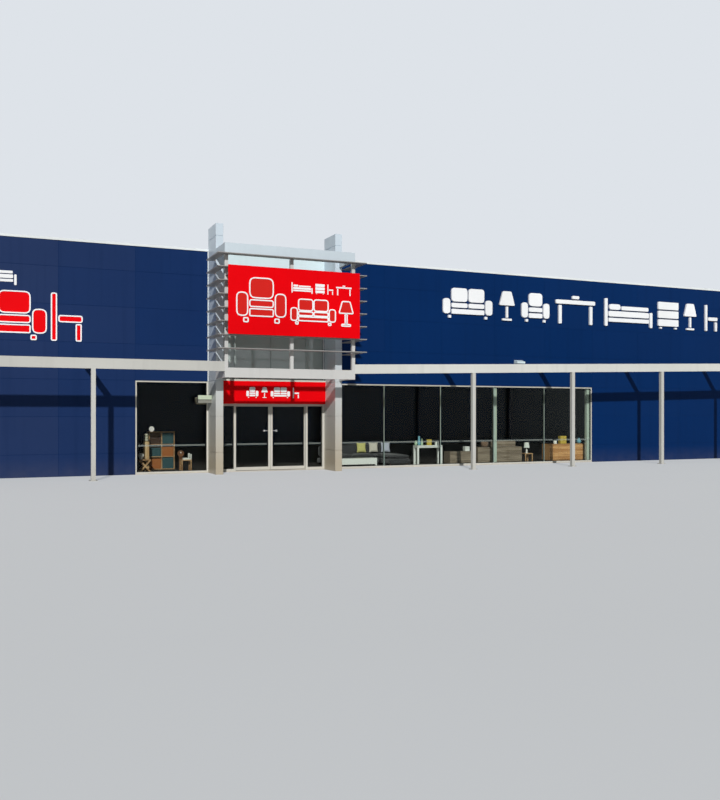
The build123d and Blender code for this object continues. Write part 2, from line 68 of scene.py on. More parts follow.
# Floor slab: power-trowelled concrete that shows as a pale edge under the glazing.
# Inside the walls it is laid with charcoal carpet tiles, half a metre square.
slab_grey = (176, 170, 160)
slab_pale = (196, 190, 180)
carpet_dark = (48, 45, 43)
carpet_light = (66, 61, 57)
carpet_seam = (26, 24, 23)
carpet_seam_width = 0.004
carpet_tile = 0.5
soft_edge = 0.001
carpet_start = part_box("left_end_wall")[0].y
floor_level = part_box("floor_slab")[1].z


def shade(colour, strength=1.0):
    """A paint-card colour in steps of 0 to 255, made linear: ((c + 0.055) / 1.055) to the power 2.4,
    or c / 12.92 where it is very dark. A strength below 1 darkens the card first."""
    card = np.array(colour) * strength / 255
    linear = np.where(card <= 0.04045, card / 12.92, ((card + 0.055) / 1.055) ** 2.4)
    return (*linear.tolist(), 1.0)


def new_finish(name, roughness, metallic=0.0, shine=0.25):
    """An empty finish, with its node tree and its shader."""
    material = bpy.data.materials.new(name)
    material.use_nodes = True
    shader = material.node_tree.nodes["Principled BSDF"]
    shader.inputs["Roughness"].default_value = roughness
    shader.inputs["Metallic"].default_value = metallic
    shader.inputs["Specular IOR Level"].default_value = shine
    return material, material.node_tree, shader


def put(tree, value, socket):
    """Sets a socket to a plain value, or links an output to it."""
    if isinstance(value, bpy.types.NodeSocket):
        tree.links.new(value, socket)
    else:
        socket.default_value = value


def place_on(tree, stretch=(1, 1, 1)):
    """The piece's own coordinates in metres, drawn out by the stretch."""
    coordinates = tree.nodes.new("ShaderNodeTexCoord")
    mapping = tree.nodes.new("ShaderNodeMapping")
    mapping.inputs["Scale"].default_value = stretch
    tree.links.new(coordinates.outputs["Object"], mapping.inputs["Vector"])
    return mapping.outputs["Vector"]


def cloud(tree, scale, stretch=(1, 1, 1), detail=4.0):
    """Noise from 0 to 1 on the piece's own coordinates."""
    noise = tree.nodes.new("ShaderNodeTexNoise")
    noise.inputs["Scale"].default_value = scale
    noise.inputs["Detail"].default_value = detail
    tree.links.new(place_on(tree, stretch), noise.inputs["Vector"])
    return noise.outputs["Fac"]


def spread(tree, value, low, high, new_low=0.0, new_high=1.0):
    """Carries low..high of a value to a new range, and holds it past both ends."""
    node = tree.nodes.new("ShaderNodeMapRange")
    tree.links.new(value, node.inputs["Value"])
    for name, number in (("From Min", low), ("From Max", high), ("To Min", new_low), ("To Max", new_high)):
        node.inputs[name].default_value = number
    return node.outputs["Result"]


def product(tree, first, second):
    """Two values multiplied."""
    node = tree.nodes.new("ShaderNodeMath")
    node.operation = "MULTIPLY"
    put(tree, first, node.inputs[0])
    put(tree, second, node.inputs[1])
    return node.outputs["Value"]


def mixed(tree, share, first, second):
    """The second colour laid over the first by a share from 0 to 1. Of the mixing node's sockets,
    inputs 6 and 7 and output 2 are the ones for colours."""
    node = tree.nodes.new("ShaderNodeMix")
    node.data_type = "RGBA"
    put(tree, share, node.inputs[0])
    put(tree, first, node.inputs[6])
    put(tree, second, node.inputs[7])
    return node.outputs[2]


def paint(tree, shader, tone):
    """Gives the shader its colour."""
    put(tree, tone, shader.inputs["Base Color"])


def axis_of(tree, axis):
    """One of the piece's own coordinates, X, Y or Z."""
    split = tree.nodes.new("ShaderNodeSeparateXYZ")
    tree.links.new(place_on(tree), split.inputs["Vector"])
    return split.outputs[axis]


def relief(tree, shader, height, depth):
    """A bump of the given depth in metres, on top of any relief that is there already."""
    node = tree.nodes.new("ShaderNodeBump")
    node.inputs["Distance"].default_value = depth
    tree.links.new(height, node.inputs["Height"])
    before = shader.inputs["Normal"].links
    if before:
        tree.links.new(before[0].from_socket, node.inputs["Normal"])
    tree.links.new(node.outputs["Normal"], shader.inputs["Normal"])


def joint_grid(tree, size, width):
    """1 on the joints of a square grid and 0 elsewhere, on X and Y."""
    bricks = tree.nodes.new("ShaderNodeTexBrick")
    bricks.offset = 0.0
    bricks.inputs["Scale"].default_value = 1.0
    bricks.inputs["Mortar Size"].default_value = width
    bricks.inputs["Brick Width"].default_value = size
    bricks.inputs["Row Height"].default_value = size
    tree.links.new(place_on(tree), bricks.inputs["Vector"])
    return bricks.outputs["Fac"]


def slab_finish():
    """Concrete with cloudy tone and fine pits; charcoal loop carpet behind the front wall."""
    material, tree, shader = new_finish("slab_concrete_and_carpet", 0.8)
    pale = mixed(tree, spread(tree, cloud(tree, 1.3), 0.35, 0.65), shade(slab_grey), shade(slab_pale))
    tile = mixed(tree, cloud(tree, 260, detail=2.0), shade(carpet_dark), shade(carpet_light))
    seams = product(tree, joint_grid(tree, carpet_tile, carpet_seam_width), 0.6)
    tile = mixed(tree, seams, tile, shade(carpet_seam))
    inside = spread(tree, axis_of(tree, "Y"), carpet_start - soft_edge, carpet_start + soft_edge)
    paint(tree, shader, mixed(tree, inside, pale, tile))
    relief(tree, shader, cloud(tree, 180), 0.0008)
    return material


def finish_nodes(material, *names):
    """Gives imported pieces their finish."""
    for name in names:
        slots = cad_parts[name].data.materials
        slots.clear()
        slots.append(material)


finish_nodes(slab_finish(), "floor_slab")

# Walls: steel-faced panels in navy enamel, 6 mm proud of the wall core, with an 8 mm shadow joint.
# Panels are 2.19 m long in courses of half that, counted from the windows' outer top corners.
# Folded flashings close the corners.
navy = (3, 39, 87)
panel_length = 2.186
course_height = panel_length / 2
panel_joint = 0.008
panel_skin = 0.006
flashing_leg = 0.09
flashing_skin = 0.011
shortest_panel = 0.2
block_corners = 8
weld_distance = 0.00002
splash_dust = (150, 138, 120)
splash_height = 0.55
fade_distance = 14
front_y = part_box("left_lower_front_wall")[0].y
back_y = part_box("back_wall")[1].y
left_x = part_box("left_lower_front_wall")[0].x
right_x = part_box("right_lower_front_wall")[1].x
wall_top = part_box("back_wall")[1].z
window_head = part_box("left_lower_front_wall")[1].z
tower_low, tower_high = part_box("tower_fascia")
entrance_x = (tower_low.x + tower_high.x) / 2
left_window_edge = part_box("left_window_frame")[0].x
right_window_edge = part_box("right_window_frame")[1].x
chance = np.random.default_rng(20)


def scaled(colour, factor, lift=0.0):
    """A linear colour times a factor, or times one for each of red, green and blue, plus a lift."""
    return (*np.clip(np.array(colour[:3]) * factor + lift, 0, 1).tolist(), 1.0)


def uneven_gloss(tree, shader, noise, smooth, rough):
    """Lets the roughness wander between two values with a noise."""
    put(tree, spread(tree, noise, 0.3, 0.7, smooth, rough), shader.inputs["Roughness"])


def coated_steel(name, colour, roughness, streaks=0.25, splash=0.0, drift=0.05, shine=0.12):
    """Paint on metal. The tone drifts over metres and greys with the piece's own tone value, rain
    leaves faint runs, a splash of dust may lie at the foot, and a fine orange peel breaks the gloss."""
    material, tree, shader = new_finish(name, roughness, shine=shine)
    base = shade(colour)
    broad = spread(tree, cloud(tree, 0.35), 0.35, 0.65)
    tone = mixed(tree, broad, scaled(base, 1 - drift), scaled(base, 1 + drift))
    # On the wall panels the own tone value also carries a painted sky reflection.
    own = tree.nodes.new("ShaderNodeAttribute")
    own.attribute_name = "tone"
    tone = mixed(tree, own.outputs["Fac"], tone, scaled(base, 0.6, 0.06))
    runs = product(tree, spread(tree, cloud(tree, 5.0, (1, 1, 0.04)), 0.52, 0.8), streaks)
    tone = mixed(tree, runs, tone, scaled(base, 0.62))
    if splash:
        low = spread(tree, axis_of(tree, "Z"), 0.0, splash_height, splash, 0.0)
        tone = mixed(tree, product(tree, low, cloud(tree, 4.0)), tone, shade(splash_dust))
    paint(tree, shader, tone)
    uneven_gloss(tree, shader, cloud(tree, 2.5), roughness * 0.93, min(1.0, roughness * 1.1))
    relief(tree, shader, cloud(tree, 420, detail=1.0), 0.00025)
    relief(tree, shader, cloud(tree, 1.6, detail=1.0), 0.0035)
    return material


def blocks(lows, highs):
    """Straight-edged solids between rows of lowest and highest corners: each corner of the unit
    cube is carried to low + corner * (high - low)."""
    lows, highs = np.atleast_2d(lows), np.atleast_2d(highs)
    corners = np.array([(x, y, z) for x in (0, 1) for y in (0, 1) for z in (0, 1)])
    sides = np.array([(0, 1, 3, 2), (4, 6, 7, 5), (0, 4, 5, 1), (2, 3, 7, 6), (0, 2, 6, 4), (1, 5, 7, 3)])
    points = lows[:, None] + corners[None] * (highs - lows)[:, None]
    faces = sides[None] + block_corners * np.arange(len(lows))[:, None, None]
    return points.reshape(-1, 3), faces.reshape(-1, 4).tolist()


def new_piece(name, parts, finish, body="building", edge=0.0, weld=False, smooth=0):
    """Joins parts, each a pair of points and faces, into one piece, and sets it on its body. A bevel
    takes the sharpness off the edges, and a subdivision rounds what is soft or turned."""
    points = np.concatenate([part[0] for part in parts])
    starts = np.cumsum([0] + [len(part[0]) for part in parts])
    faces = [tuple(start + corner for corner in face)
             for start, part in zip(starts, parts) for face in part[1]]
    mesh = bpy.data.meshes.new(name)
    mesh.from_pydata(points.tolist(), [], faces)
    if weld:
        shell = bmesh.new()
        shell.from_mesh(mesh)
        bmesh.ops.remove_doubles(shell, verts=shell.verts, dist=weld_distance)
        bmesh.ops.recalc_face_normals(shell, faces=shell.faces)
        shell.to_mesh(mesh)
        shell.free()
    mesh.update()
    piece = bpy.data.objects.new(name, mesh)
    bpy.context.scene.collection.objects.link(piece)
    mesh.materials.append(finish)
    if edge:
        bevel = piece.modifiers.new("edge", "BEVEL")
        bevel.width = edge
        bevel.segments = 1
        bevel.limit_method = "ANGLE"
    if smooth:
        mesh.shade_smooth()
        rounding = piece.modifiers.new("rounding", "SUBSURF")
        rounding.levels = smooth
        rounding.render_levels = smooth
    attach(piece, body)
    return piece


def joints_between(low, high, start, pitch):
    """Both ends of a stretch, and every joint of a row between them that leaves no sliver."""
    first, last = math.ceil((low - start) / pitch), math.floor((high - start) / pitch)
    steps = start + pitch * np.arange(first, last + 1)
    inner = steps[(steps > low + shortest_panel) & (steps < high - shortest_panel)]
    return np.concatenate([[low], inner, [high]])


def rows_of(*columns):
    """Columns of numbers set side by side as rows. A single number fills its whole column."""
    return np.stack(np.broadcast_arrays(*columns), axis=1)


def cells(across, upwards, gap):
    """The cells between two rows of edges, less half a gap on each side: their low and high ends
    across, then their low and high ends upwards."""
    low_across, low_up = [grid.ravel() + gap / 2 for grid in np.meshgrid(across[:-1], upwards[:-1])]
    high_across, high_up = [grid.ravel() - gap / 2 for grid in np.meshgrid(across[1:], upwards[1:])]
    return low_across, high_across, low_up, high_up


def panel_field(along, heights, face, axis, start):
    """The panels of one flat stretch of wall: every cell between the joints, from the face outwards
    by the skin. Axis 0 runs along X and axis 1 along Y, and the upright joints are counted from the
    start."""
    lengths = joints_between(*along, start, panel_length)
    courses = joints_between(*heights, window_head, course_height)
    near, far, bottom, top = cells(lengths, courses, panel_joint)
    order = [0, 1, 2] if axis == 0 else [1, 0, 2]
    return blocks(rows_of(near, min(face), bottom)[:, order], rows_of(far, max(face), top)[:, order])


def clad(name, fields, painted_sky_sheen=0.0, variation=0.05):
    """One wall's panels, each with a tone of its own, up to the variation. A painted sky reflection greys
    them along
    the wall, away from the entrance: its share times the distance over the fade distance."""
    piece = new_piece(name, fields, navy_finish, edge=0.002)
    points = np.concatenate([field[0] for field in fields])
    middles = points.reshape(-1, block_corners, 3).mean(axis=1)
    away = np.abs(middles[:, 0] - entrance_x) / fade_distance
    # Painted reflection: the greying away from the entrance stands in for sky mirrored at a slant, added to
    # each panel's random tone.
    tone = chance.uniform(0, variation, len(middles)) + painted_sky_sheen * away
    values = np.repeat(tone, block_corners).astype(np.float32)
    piece.data.attributes.new("tone", "FLOAT", "POINT").data.foreach_set("value", values)


navy_finish = coated_steel("navy_enamel", navy, 0.42, streaks=0.3, splash=0.1, shine=0.05)
front_face = (front_y - panel_skin, front_y)
back_face = (back_y, back_y + panel_skin)
end_faces = {"left": (left_x - panel_skin, left_x), "right": (right_x, right_x + panel_skin)}
full_height = (0, wall_top)
over_window = (window_head, wall_top)
# The left front panels grey away from the entrance with a painted sky reflection.
clad("left_front_panels", [
    panel_field((left_x, left_window_edge), full_height, front_face, 0, left_window_edge),
    panel_field((left_window_edge, tower_low.x), over_window, front_face, 0, left_window_edge),
], painted_sky_sheen=0.35)
clad("right_front_panels", [
    panel_field((tower_high.x, right_window_edge), over_window, front_face, 0, right_window_edge),
    panel_field((right_window_edge, right_x), full_height, front_face, 0, right_window_edge),
], variation=0.015)
clad("back_panels", [panel_field((left_x, right_x), full_height, back_face, 0, left_x)])
for side, end_face in end_faces.items():
    clad(f"{side}_end_panels", [panel_field((front_y, back_y), full_height, end_face, 1, front_y)])
corner_parts = []
for corner_x, turn_x in ((left_x, -1), (right_x, 1)):
    for corner_y, turn_y in ((front_y, -1), (back_y, 1)):
        outer = np.array([corner_x + turn_x * flashing_skin, corner_y + turn_y * flashing_skin])
        inner = np.array([corner_x - turn_x * flashing_leg, corner_y - turn_y * flashing_leg])
        face_leg = np.sort([[inner[0], outer[1], 0], [outer[0], corner_y, wall_top]], axis=0)
        side_leg = np.sort([[outer[0], inner[1], 0], [corner_x, corner_y, wall_top]], axis=0)
        corner_parts += [blocks(*face_leg), blocks(*side_leg)]
new_piece("corner_flashings", corner_parts, navy_finish, edge=0.002)
finish_nodes(navy_finish, "left_lower_front_wall", "right_lower_front_wall", "left_upper_front_wall",
             "right_upper_front_wall", "left_end_wall", "right_end_wall", "back_wall")

# Copings: folded white steel caps over the wall tops, butted every 3 m with a joint cover.
# They overhang both faces by 30 mm, so rain leaves their edges a little grey.
coping_white = (226, 231, 232)
cover_pitch = 3.0
cover_width = 0.09
cover_skin = 0.003
end_clearance = 0.5
tower_clearance = 0.4
white_finish = coated_steel("white_enamel", coping_white, 0.4, streaks=0.18)
coping_low, coping_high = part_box("front_coping")
coping_top = coping_high.z
covers = np.arange(coping_low.x + cover_pitch, coping_high.x - end_clearance, cover_pitch)
clear_of_tower = (covers < tower_low.x - tower_clearance) | (covers > tower_high.x + tower_clearance)
cover_parts = []
for y_low, y_high, places in ((coping_low.y, coping_high.y, covers[clear_of_tower]),
                              (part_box("back_coping")[0].y, back_y, covers)):
    cover_parts.append(blocks(rows_of(places - cover_width / 2, y_low, coping_top),
                              rows_of(places + cover_width / 2, y_high, coping_top + cover_skin)))
new_piece("coping_joint_covers", cover_parts, white_finish, edge=0.001)
finish_nodes(white_finish, "front_coping", "back_coping", "end_copings")

# Roof: standing-seam steel sheet on I-section rafters, zinc-aluminium coated and never painted.
# The two steel columns behind the front glazing are painted pale green.
roof_silver = (166, 170, 171)
primer_grey = (112, 116, 118)
column_green = (176, 190, 176)
spangle_scale = 90


def coated_sheet(name, colour):
    """Zinc-aluminium coating: crystals of spangle a centimetre wide under broad stains."""
    material, tree, shader = new_finish(name, 0.55, metallic=0.3)
    crystals = tree.nodes.new("ShaderNodeTexVoronoi")
    crystals.inputs["Scale"].default_value = spangle_scale
    tree.links.new(place_on(tree), crystals.inputs["Vector"])
    base = shade(colour)
    tone = mixed(tree, crystals.outputs["Color"], scaled(base, 0.85), scaled(base, 1.15))
    stain = spread(tree, cloud(tree, 0.8, (1, 0.12, 1)), 0.5, 0.8, 0.0, 0.35)
    paint(tree, shader, mixed(tree, stain, tone, scaled(base, 0.6)))
    uneven_gloss(tree, shader, cloud(tree, 3.0), 0.5, 0.72)
    relief(tree, shader, cloud(tree, 2.4, (1, 0.3, 1)), 0.002)
    return material


finish_nodes(coated_sheet("roof_sheet", roof_silver), "roof_deck")
finish_nodes(coated_steel("rafter_primer", primer_grey, 0.6), "roof_rafters")
finish_nodes(coated_steel("column_green", column_green, 0.45, splash=0.2), "steel_columns")

# Shop windows: white powder-coated aluminium frames round frameless-jointed tinted panes.
# Black gaskets hold the panes, and a broken frosted band at waist height makes the glass seen.
frame_white = (198, 196, 187)
frame_white_dull = (190, 188, 179)
gasket_black = (22, 22, 23)
rubber_chalk = (38, 38, 38)
glass_tint = (0.925, 0.945, 0.932, 1.0)
glass_mirror = (0.82, 0.88, 0.86, 1.0)
glass_index = 1.5
glass_shine = 0.16
film_grey = (150, 160, 158)
film_white = (186, 196, 192)
film_cover = 0.24
film_thickness = 0.0012
joint_green = (134, 152, 144)
joint_green_pale = (146, 164, 156)
gasket_width = 0.012
gasket_stand = 0.016
band_bottom = 0.842
band_size = 0.052
band_pitch = 0.060
band_margin = 0.06
mullion_width = 0.02


def blended(tree, share, first, second, output="Material Output"):
    """Makes the tree's surface of two shaders, the second laid over the first by a share."""
    both = tree.nodes.new("ShaderNodeMixShader")
    tree.links.new(share, both.inputs["Fac"])
    tree.links.new(first, both.inputs[1])
    tree.links.new(second, both.inputs[2])
    tree.links.new(both.outputs["Shader"], tree.nodes[output].inputs["Surface"])


def tinted_glass(name, tint, shine):
    """Clear float glass with a green tint: most light goes through, and a share that grows at a
    slant is mirrored by a smooth film with faint wipe marks."""
    material, tree, shader = new_finish(name, 0.04, metallic=1.0)
    paint(tree, shader, glass_mirror)
    marks = spread(tree, cloud(tree, 3.0, (1, 1, 0.4)), 0.4, 0.8, 0.02, 0.09)
    put(tree, marks, shader.inputs["Roughness"])
    through = tree.nodes.new("ShaderNodeBsdfTransparent")
    through.inputs["Color"].default_value = tint
    slant = tree.nodes.new("ShaderNodeFresnel")
    slant.inputs["IOR"].default_value = glass_index
    mirrored = product(tree, slant.outputs["Fac"], shine)
    blended(tree, mirrored, through.outputs["BSDF"], shader.outputs["BSDF"])
    return material


def dull_rubber(name, colour):
    """Extruded rubber: matt, slightly chalky, with fine draw lines."""
    material, tree, shader = new_finish(name, 0.7)
    tone = mixed(tree, cloud(tree, 30), shade(colour), shade(rubber_chalk))
    paint(tree, shader, tone)
    relief(tree, shader, cloud(tree, 300, (0.1, 1, 1)), 0.0002)
    return material


def frosted_film(name):
    """Etched film: a thin white veil with a fine grain."""
    material, tree, shader = new_finish(name, 0.55)
    shader.inputs["Alpha"].default_value = film_cover
    grain = mixed(tree, cloud(tree, 500), shade(film_grey), shade(film_white))
    paint(tree, shader, grain)
    return material


def within(tree, axis, low, high, blur=soft_edge):
    """1 between two places on an axis and 0 outside them, with a soft edge."""
    past_low = spread(tree, axis_of(tree, axis), low - blur, low + blur)
    return product(tree, past_low, spread(tree, axis_of(tree, axis), high - blur, high + blur, 1.0, 0.0))


def joint_frame_finish(name, x_range, z_range):
    """The frame's powder coat on its outer bars, and grey-green silicone on the thin joints inside
    them: between the given X and Z the tone is that of the sealant."""
    material, tree, shader = new_finish(name, 0.4)
    inside = product(tree, within(tree, "X", *x_range), within(tree, "Z", *z_range))
    powder = mixed(tree, cloud(tree, 5.0), shade(frame_white), shade(frame_white_dull))
    sealant = mixed(tree, cloud(tree, 40), shade(joint_green), shade(joint_green_pale))
    paint(tree, shader, mixed(tree, inside, powder, sealant))
    relief(tree, shader, cloud(tree, 420, detail=1.0), 0.00025)
    return material


def gasket_rings(panes, y_low, y_high):
    """Four strips round each pane, given as rows of x low, x high, z low, z high."""
    x_low, x_high, z_low, z_high = np.atleast_2d(np.array(panes, float)).T
    width = gasket_width
    strips = (
        (x_low, x_low + width, z_low, z_high),
        (x_high - width, x_high, z_low, z_high),
        (x_low + width, x_high - width, z_low, z_low + width),
        (x_low + width, x_high - width, z_high - width, z_high),
    )
    lows = np.concatenate([rows_of(strip[0], y_low, strip[2]) for strip in strips])
    highs = np.concatenate([rows_of(strip[1], y_high, strip[3]) for strip in strips])
    return blocks(lows, highs)


def marker_squares(x_low, x_high, face_y):
    """A row of small frosted squares on the front of a pane, centred in its width."""
    count = int((x_high - x_low - band_margin) / band_pitch)
    middle = (x_low + x_high) / 2
    starts = middle + (np.arange(count) - count / 2) * band_pitch + (band_pitch - band_size) / 2
    return blocks(rows_of(starts, face_y - film_thickness, band_bottom),
                  rows_of(starts + band_size, face_y, band_bottom + band_size))


rubber = dull_rubber("glazing_rubber", gasket_black)
film = frosted_film("marker_film")
shop_glass = tinted_glass("shop_glass", glass_tint, glass_shine)
frame_finish = coated_steel("frame_powder_coat", frame_white, 0.38, streaks=0.12, splash=0.15)
left_pane_low, left_pane_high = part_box("left_window_glass")
pane_low, pane_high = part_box("right_window_glass")
pane_bottom, pane_top = left_pane_low.z, left_pane_high.z
glass_front, glass_back = left_pane_low.y, left_pane_high.y
right_joints = [right_window_edge - panel_length * number for number in (4, 3, 2, 1)]
pane_starts = [pane_low.x] + [joint + mullion_width / 2 for joint in right_joints]
pane_ends = [joint - mullion_width / 2 for joint in right_joints] + [pane_high.x]
shop_panes = [(left_pane_low.x, left_pane_high.x, pane_bottom, pane_top)]
shop_panes += [(start, end, pane_bottom, pane_top) for start, end in zip(pane_starts, pane_ends)]
gasket_parts = [
    gasket_rings(shop_panes, glass_front - gasket_stand, glass_front),
    gasket_rings(shop_panes, glass_back, glass_back + gasket_stand),
]
new_piece("shop_window_gaskets", gasket_parts, rubber, edge=0.001)
band_parts = [marker_squares(pane[0], pane[1], glass_front) for pane in shop_panes]
new_piece("shop_window_markers", band_parts, film)
finish_nodes(frame_finish, "left_window_frame", "door_piers")
finish_nodes(joint_frame_finish("long_window_frame", (pane_low.x, pane_high.x), (pane_bottom, pane_top)),
             "right_window_frame")
finish_nodes(shop_glass, "left_window_glass", "right_window_glass")

# Pylons: slender box columns clad with folded aluminium composite cassettes on all sides.
# The cassettes are 1.09 m high with an open 14 mm joint; white angles close them to the walls.
cassette_silver = (204, 217, 227)
low_warm_tint = (0.71, 0.54, 0.37)
low_warm_levels = (0.3, 4.4)
cassette_start = 0.665
cassette_height = 1.09
cassette_joint = 0.014
joint_depth = 0.014
shortest_cassette = 0.1
angle_width = 0.02
angle_skin = 0.012


def grid_quads(rows, columns, close_rows, close_columns):
    """The quads of a grid of points, row after row, closed on itself where asked."""
    row = np.arange(rows if close_rows else rows - 1)[:, None]
    column = np.arange(columns if close_columns else columns - 1)[None]
    next_row = (row + 1) % rows
    next_column = (column + 1) % columns
    corners = [row * columns + column, row * columns + next_column,
               next_row * columns + next_column, next_row * columns + column]
    return np.stack(corners, axis=2).reshape(-1, 4).tolist()


def brushed_composite(name, colour):
    """Silver coil coating on composite sheet: satin, with a fine flake. Rain runs are faint, and the tone
    turns warmer and darker towards the bottom."""
    material, tree, shader = new_finish(name, 0.34, metallic=0.08)
    base = shade(colour)
    tone = mixed(tree, cloud(tree, 900, detail=1.0), scaled(base, 0.95), scaled(base, 1.04))
    # The tone turns warmer and darker towards the bottom, fading out by 4.4 m.
    dust = spread(tree, axis_of(tree, "Z"), *low_warm_levels, 1.0, 0.0)
    tone = mixed(tree, dust, tone, scaled(base, np.array(low_warm_tint)))
    runs = product(tree, spread(tree, cloud(tree, 6.0, (1, 1, 0.05)), 0.5, 0.85), 0.12)
    tone = mixed(tree, runs, tone, scaled(base, 0.6))
    paint(tree, shader, tone)
    uneven_gloss(tree, shader, cloud(tree, 2.5), 0.28, 0.42)
    relief(tree, shader, cloud(tree, 1.8, detail=1.0), 0.0015)
    return material


def cassette_column(low, high):
    """A box column whose outline steps in at each joint: a rectangle is carried up through the
    levels of the joints, drawn in by the joint's depth between two cassettes."""
    joints = np.arange(cassette_start, high.z - shortest_cassette, cassette_height)
    starts = np.concatenate([[low.z], joints + cassette_joint / 2])
    ends = np.concatenate([joints - cassette_joint / 2, [high.z]])
    levels = np.stack([starts, starts, ends, ends], axis=1).ravel()[1:-1]
    inset = np.tile([joint_depth, 0, 0, joint_depth], len(starts))[1:-1]
    centre = np.array([(low.x + high.x) / 2, (low.y + high.y) / 2])
    half = np.array([(high.x - low.x) / 2, (high.y - low.y) / 2])
    turns = np.array([(-1, -1), (1, -1), (1, 1), (-1, 1)])
    ring = centre + turns[None] * (half[None] - inset[:, None])[:, None]
    heights = np.repeat(levels[:, None, None], 4, axis=1)
    points = np.concatenate([ring, heights], axis=2).reshape(-1, 3)
    rows = len(levels)
    faces = grid_quads(rows, 4, False, True)
    faces += [(3, 2, 1, 0), tuple(4 * (rows - 1) + corner for corner in range(4))]
    return points, faces


composite = brushed_composite("silver_composite", cassette_silver)
for side in ("left", "right"):
    node = f"{side}_pylon"
    pylon = new_piece(f"{side}_pylon_cassettes", [cassette_column(*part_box(node))], composite,
                      edge=0.003)
    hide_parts(node)
angle_parts = []
for x_low in (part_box("left_pylon")[0].x - angle_width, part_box("right_pylon")[1].x):
    angle_parts.append(blocks((x_low, front_y - angle_skin, window_head),
                              (x_low + angle_width, front_y, wall_top)))
new_piece("pylon_angles", angle_parts, white_finish, edge=0.002)

# Tower front between the pylons: a high window of grey-green glass in a white frame, a pale fascia
# over it and the red band over the doors, capped by a white trim.
fascia_white = (214, 232, 236)
store_red = (228, 2, 12)
jamb_reach = 1.76
tower_green = (160, 173, 168)
tower_green_pale = (169, 182, 177)
seal_grey = (104, 113, 110)
jamb_white = (214, 220, 220)
jamb_white_pale = (226, 230, 230)


def spandrel_glass(name):
    """Grey-green glass with an opaque coat inside: it hides the room behind it."""
    material, tree, shader = new_finish(name, 0.08, shine=1.0)
    cloudy = spread(tree, cloud(tree, 0.9), 0.35, 0.65)
    tone = mixed(tree, cloudy, shade(tower_green), shade(tower_green_pale))
    paint(tree, shader, tone)
    put(tree, spread(tree, cloud(tree, 5.0), 0.3, 0.8, 0.05, 0.16), shader.inputs["Roughness"])
    relief(tree, shader, cloud(tree, 0.8, detail=1.0), 0.002)
    return material


def tower_frame_finish(name):
    """White powder coat on the jambs; between them the joints are grey-green silicone."""
    material, tree, shader = new_finish(name, 0.2, shine=1.0)
    between = within(tree, "X", entrance_x - jamb_reach, entrance_x + jamb_reach, blur=0.002)
    powder = mixed(tree, cloud(tree, 6), shade(jamb_white), shade(jamb_white_pale))
    silicone = mixed(tree, cloud(tree, 40), shade(tower_green), shade(tower_green_pale))
    paint(tree, shader, mixed(tree, between, powder, silicone))
    relief(tree, shader, cloud(tree, 300, detail=1.0), 0.0002)
    return material


fascia_finish = coated_steel("fascia_white", fascia_white, 0.35, streaks=0.15)
red_finish = coated_steel("red_enamel", store_red, 0.36, streaks=0.1, drift=0.06, shine=0.05)
finish_nodes(spandrel_glass("tower_glass"), "tower_window_glass")
finish_nodes(tower_frame_finish("tower_frame"), "tower_window_frame")
finish_nodes(frame_finish, "header_trim")
finish_nodes(fascia_finish, "tower_fascia")
finish_nodes(red_finish, "header_band")
finish_nodes(white_finish, "door_lintel")
tower_glass_low, tower_glass_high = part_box("tower_window_glass")
tower_pane = (tower_glass_low.x, tower_glass_high.x, tower_glass_low.z, tower_glass_high.z)
tower_front = tower_glass_low.y
grey_seal = dull_rubber("grey_seal", seal_grey)
new_piece("tower_gaskets", [gasket_rings(tower_pane, tower_front - gasket_stand, tower_front)], grey_seal,
          edge=0.001)

# Entrance: a white aluminium screen with two sidelights, and two sliding leaves hung behind it.
# Each leaf has a round stainless pull on both sides, on a rose bolted through the glass.
handle_level = 1.29
handle_radius = 0.013
rose_radius = 0.034
rose_depth = 0.012
lock_radius = 0.018
lock_depth = 0.004
lock_level = 1.19
lock_inset = 0.025
sidelight_width = 0.515
steel_dark = (186, 188, 190)
steel_bright = (226, 228, 230)
casing_beige = (176, 164, 146)


def turned(place, profile, axis=2, segments=24):
    """A solid of revolution: the (radius, height) profile is swept round an axis through the place,
    to (radius cos a, radius sin a, height), from a point on the axis back to one on it."""
    profile = np.array(profile, float)
    angle = np.linspace(0, 2 * np.pi, segments, endpoint=False)
    points = np.zeros((len(profile), segments, 3))
    points[..., (axis + 1) % 3] = profile[:, :1] * np.cos(angle)
    points[..., (axis + 2) % 3] = profile[:, :1] * np.sin(angle)
    points[..., axis] = profile[:, 1:2]
    points += np.array(place)
    return points.reshape(-1, 3), grid_quads(len(profile), segments, False, True)


def rod(start, length, radius, axis):
    """A round bar with a small chamfer at each end."""
    chamfer = radius * 0.25
    profile = [(0, 0), (radius - chamfer, 0), (radius, chamfer), (radius, length - chamfer),
               (radius - chamfer, length), (0, length)]
    return turned(start, profile, axis)


def stainless(name):
    """Stainless steel, brushed along the bar."""
    material, tree, shader = new_finish(name, 0.22, metallic=1.0)
    brushed = cloud(tree, 700, (0.02, 1, 1), detail=2.0)
    paint(tree, shader, mixed(tree, brushed, shade(steel_dark), shade(steel_bright)))
    uneven_gloss(tree, shader, brushed, 0.16, 0.34)
    return material


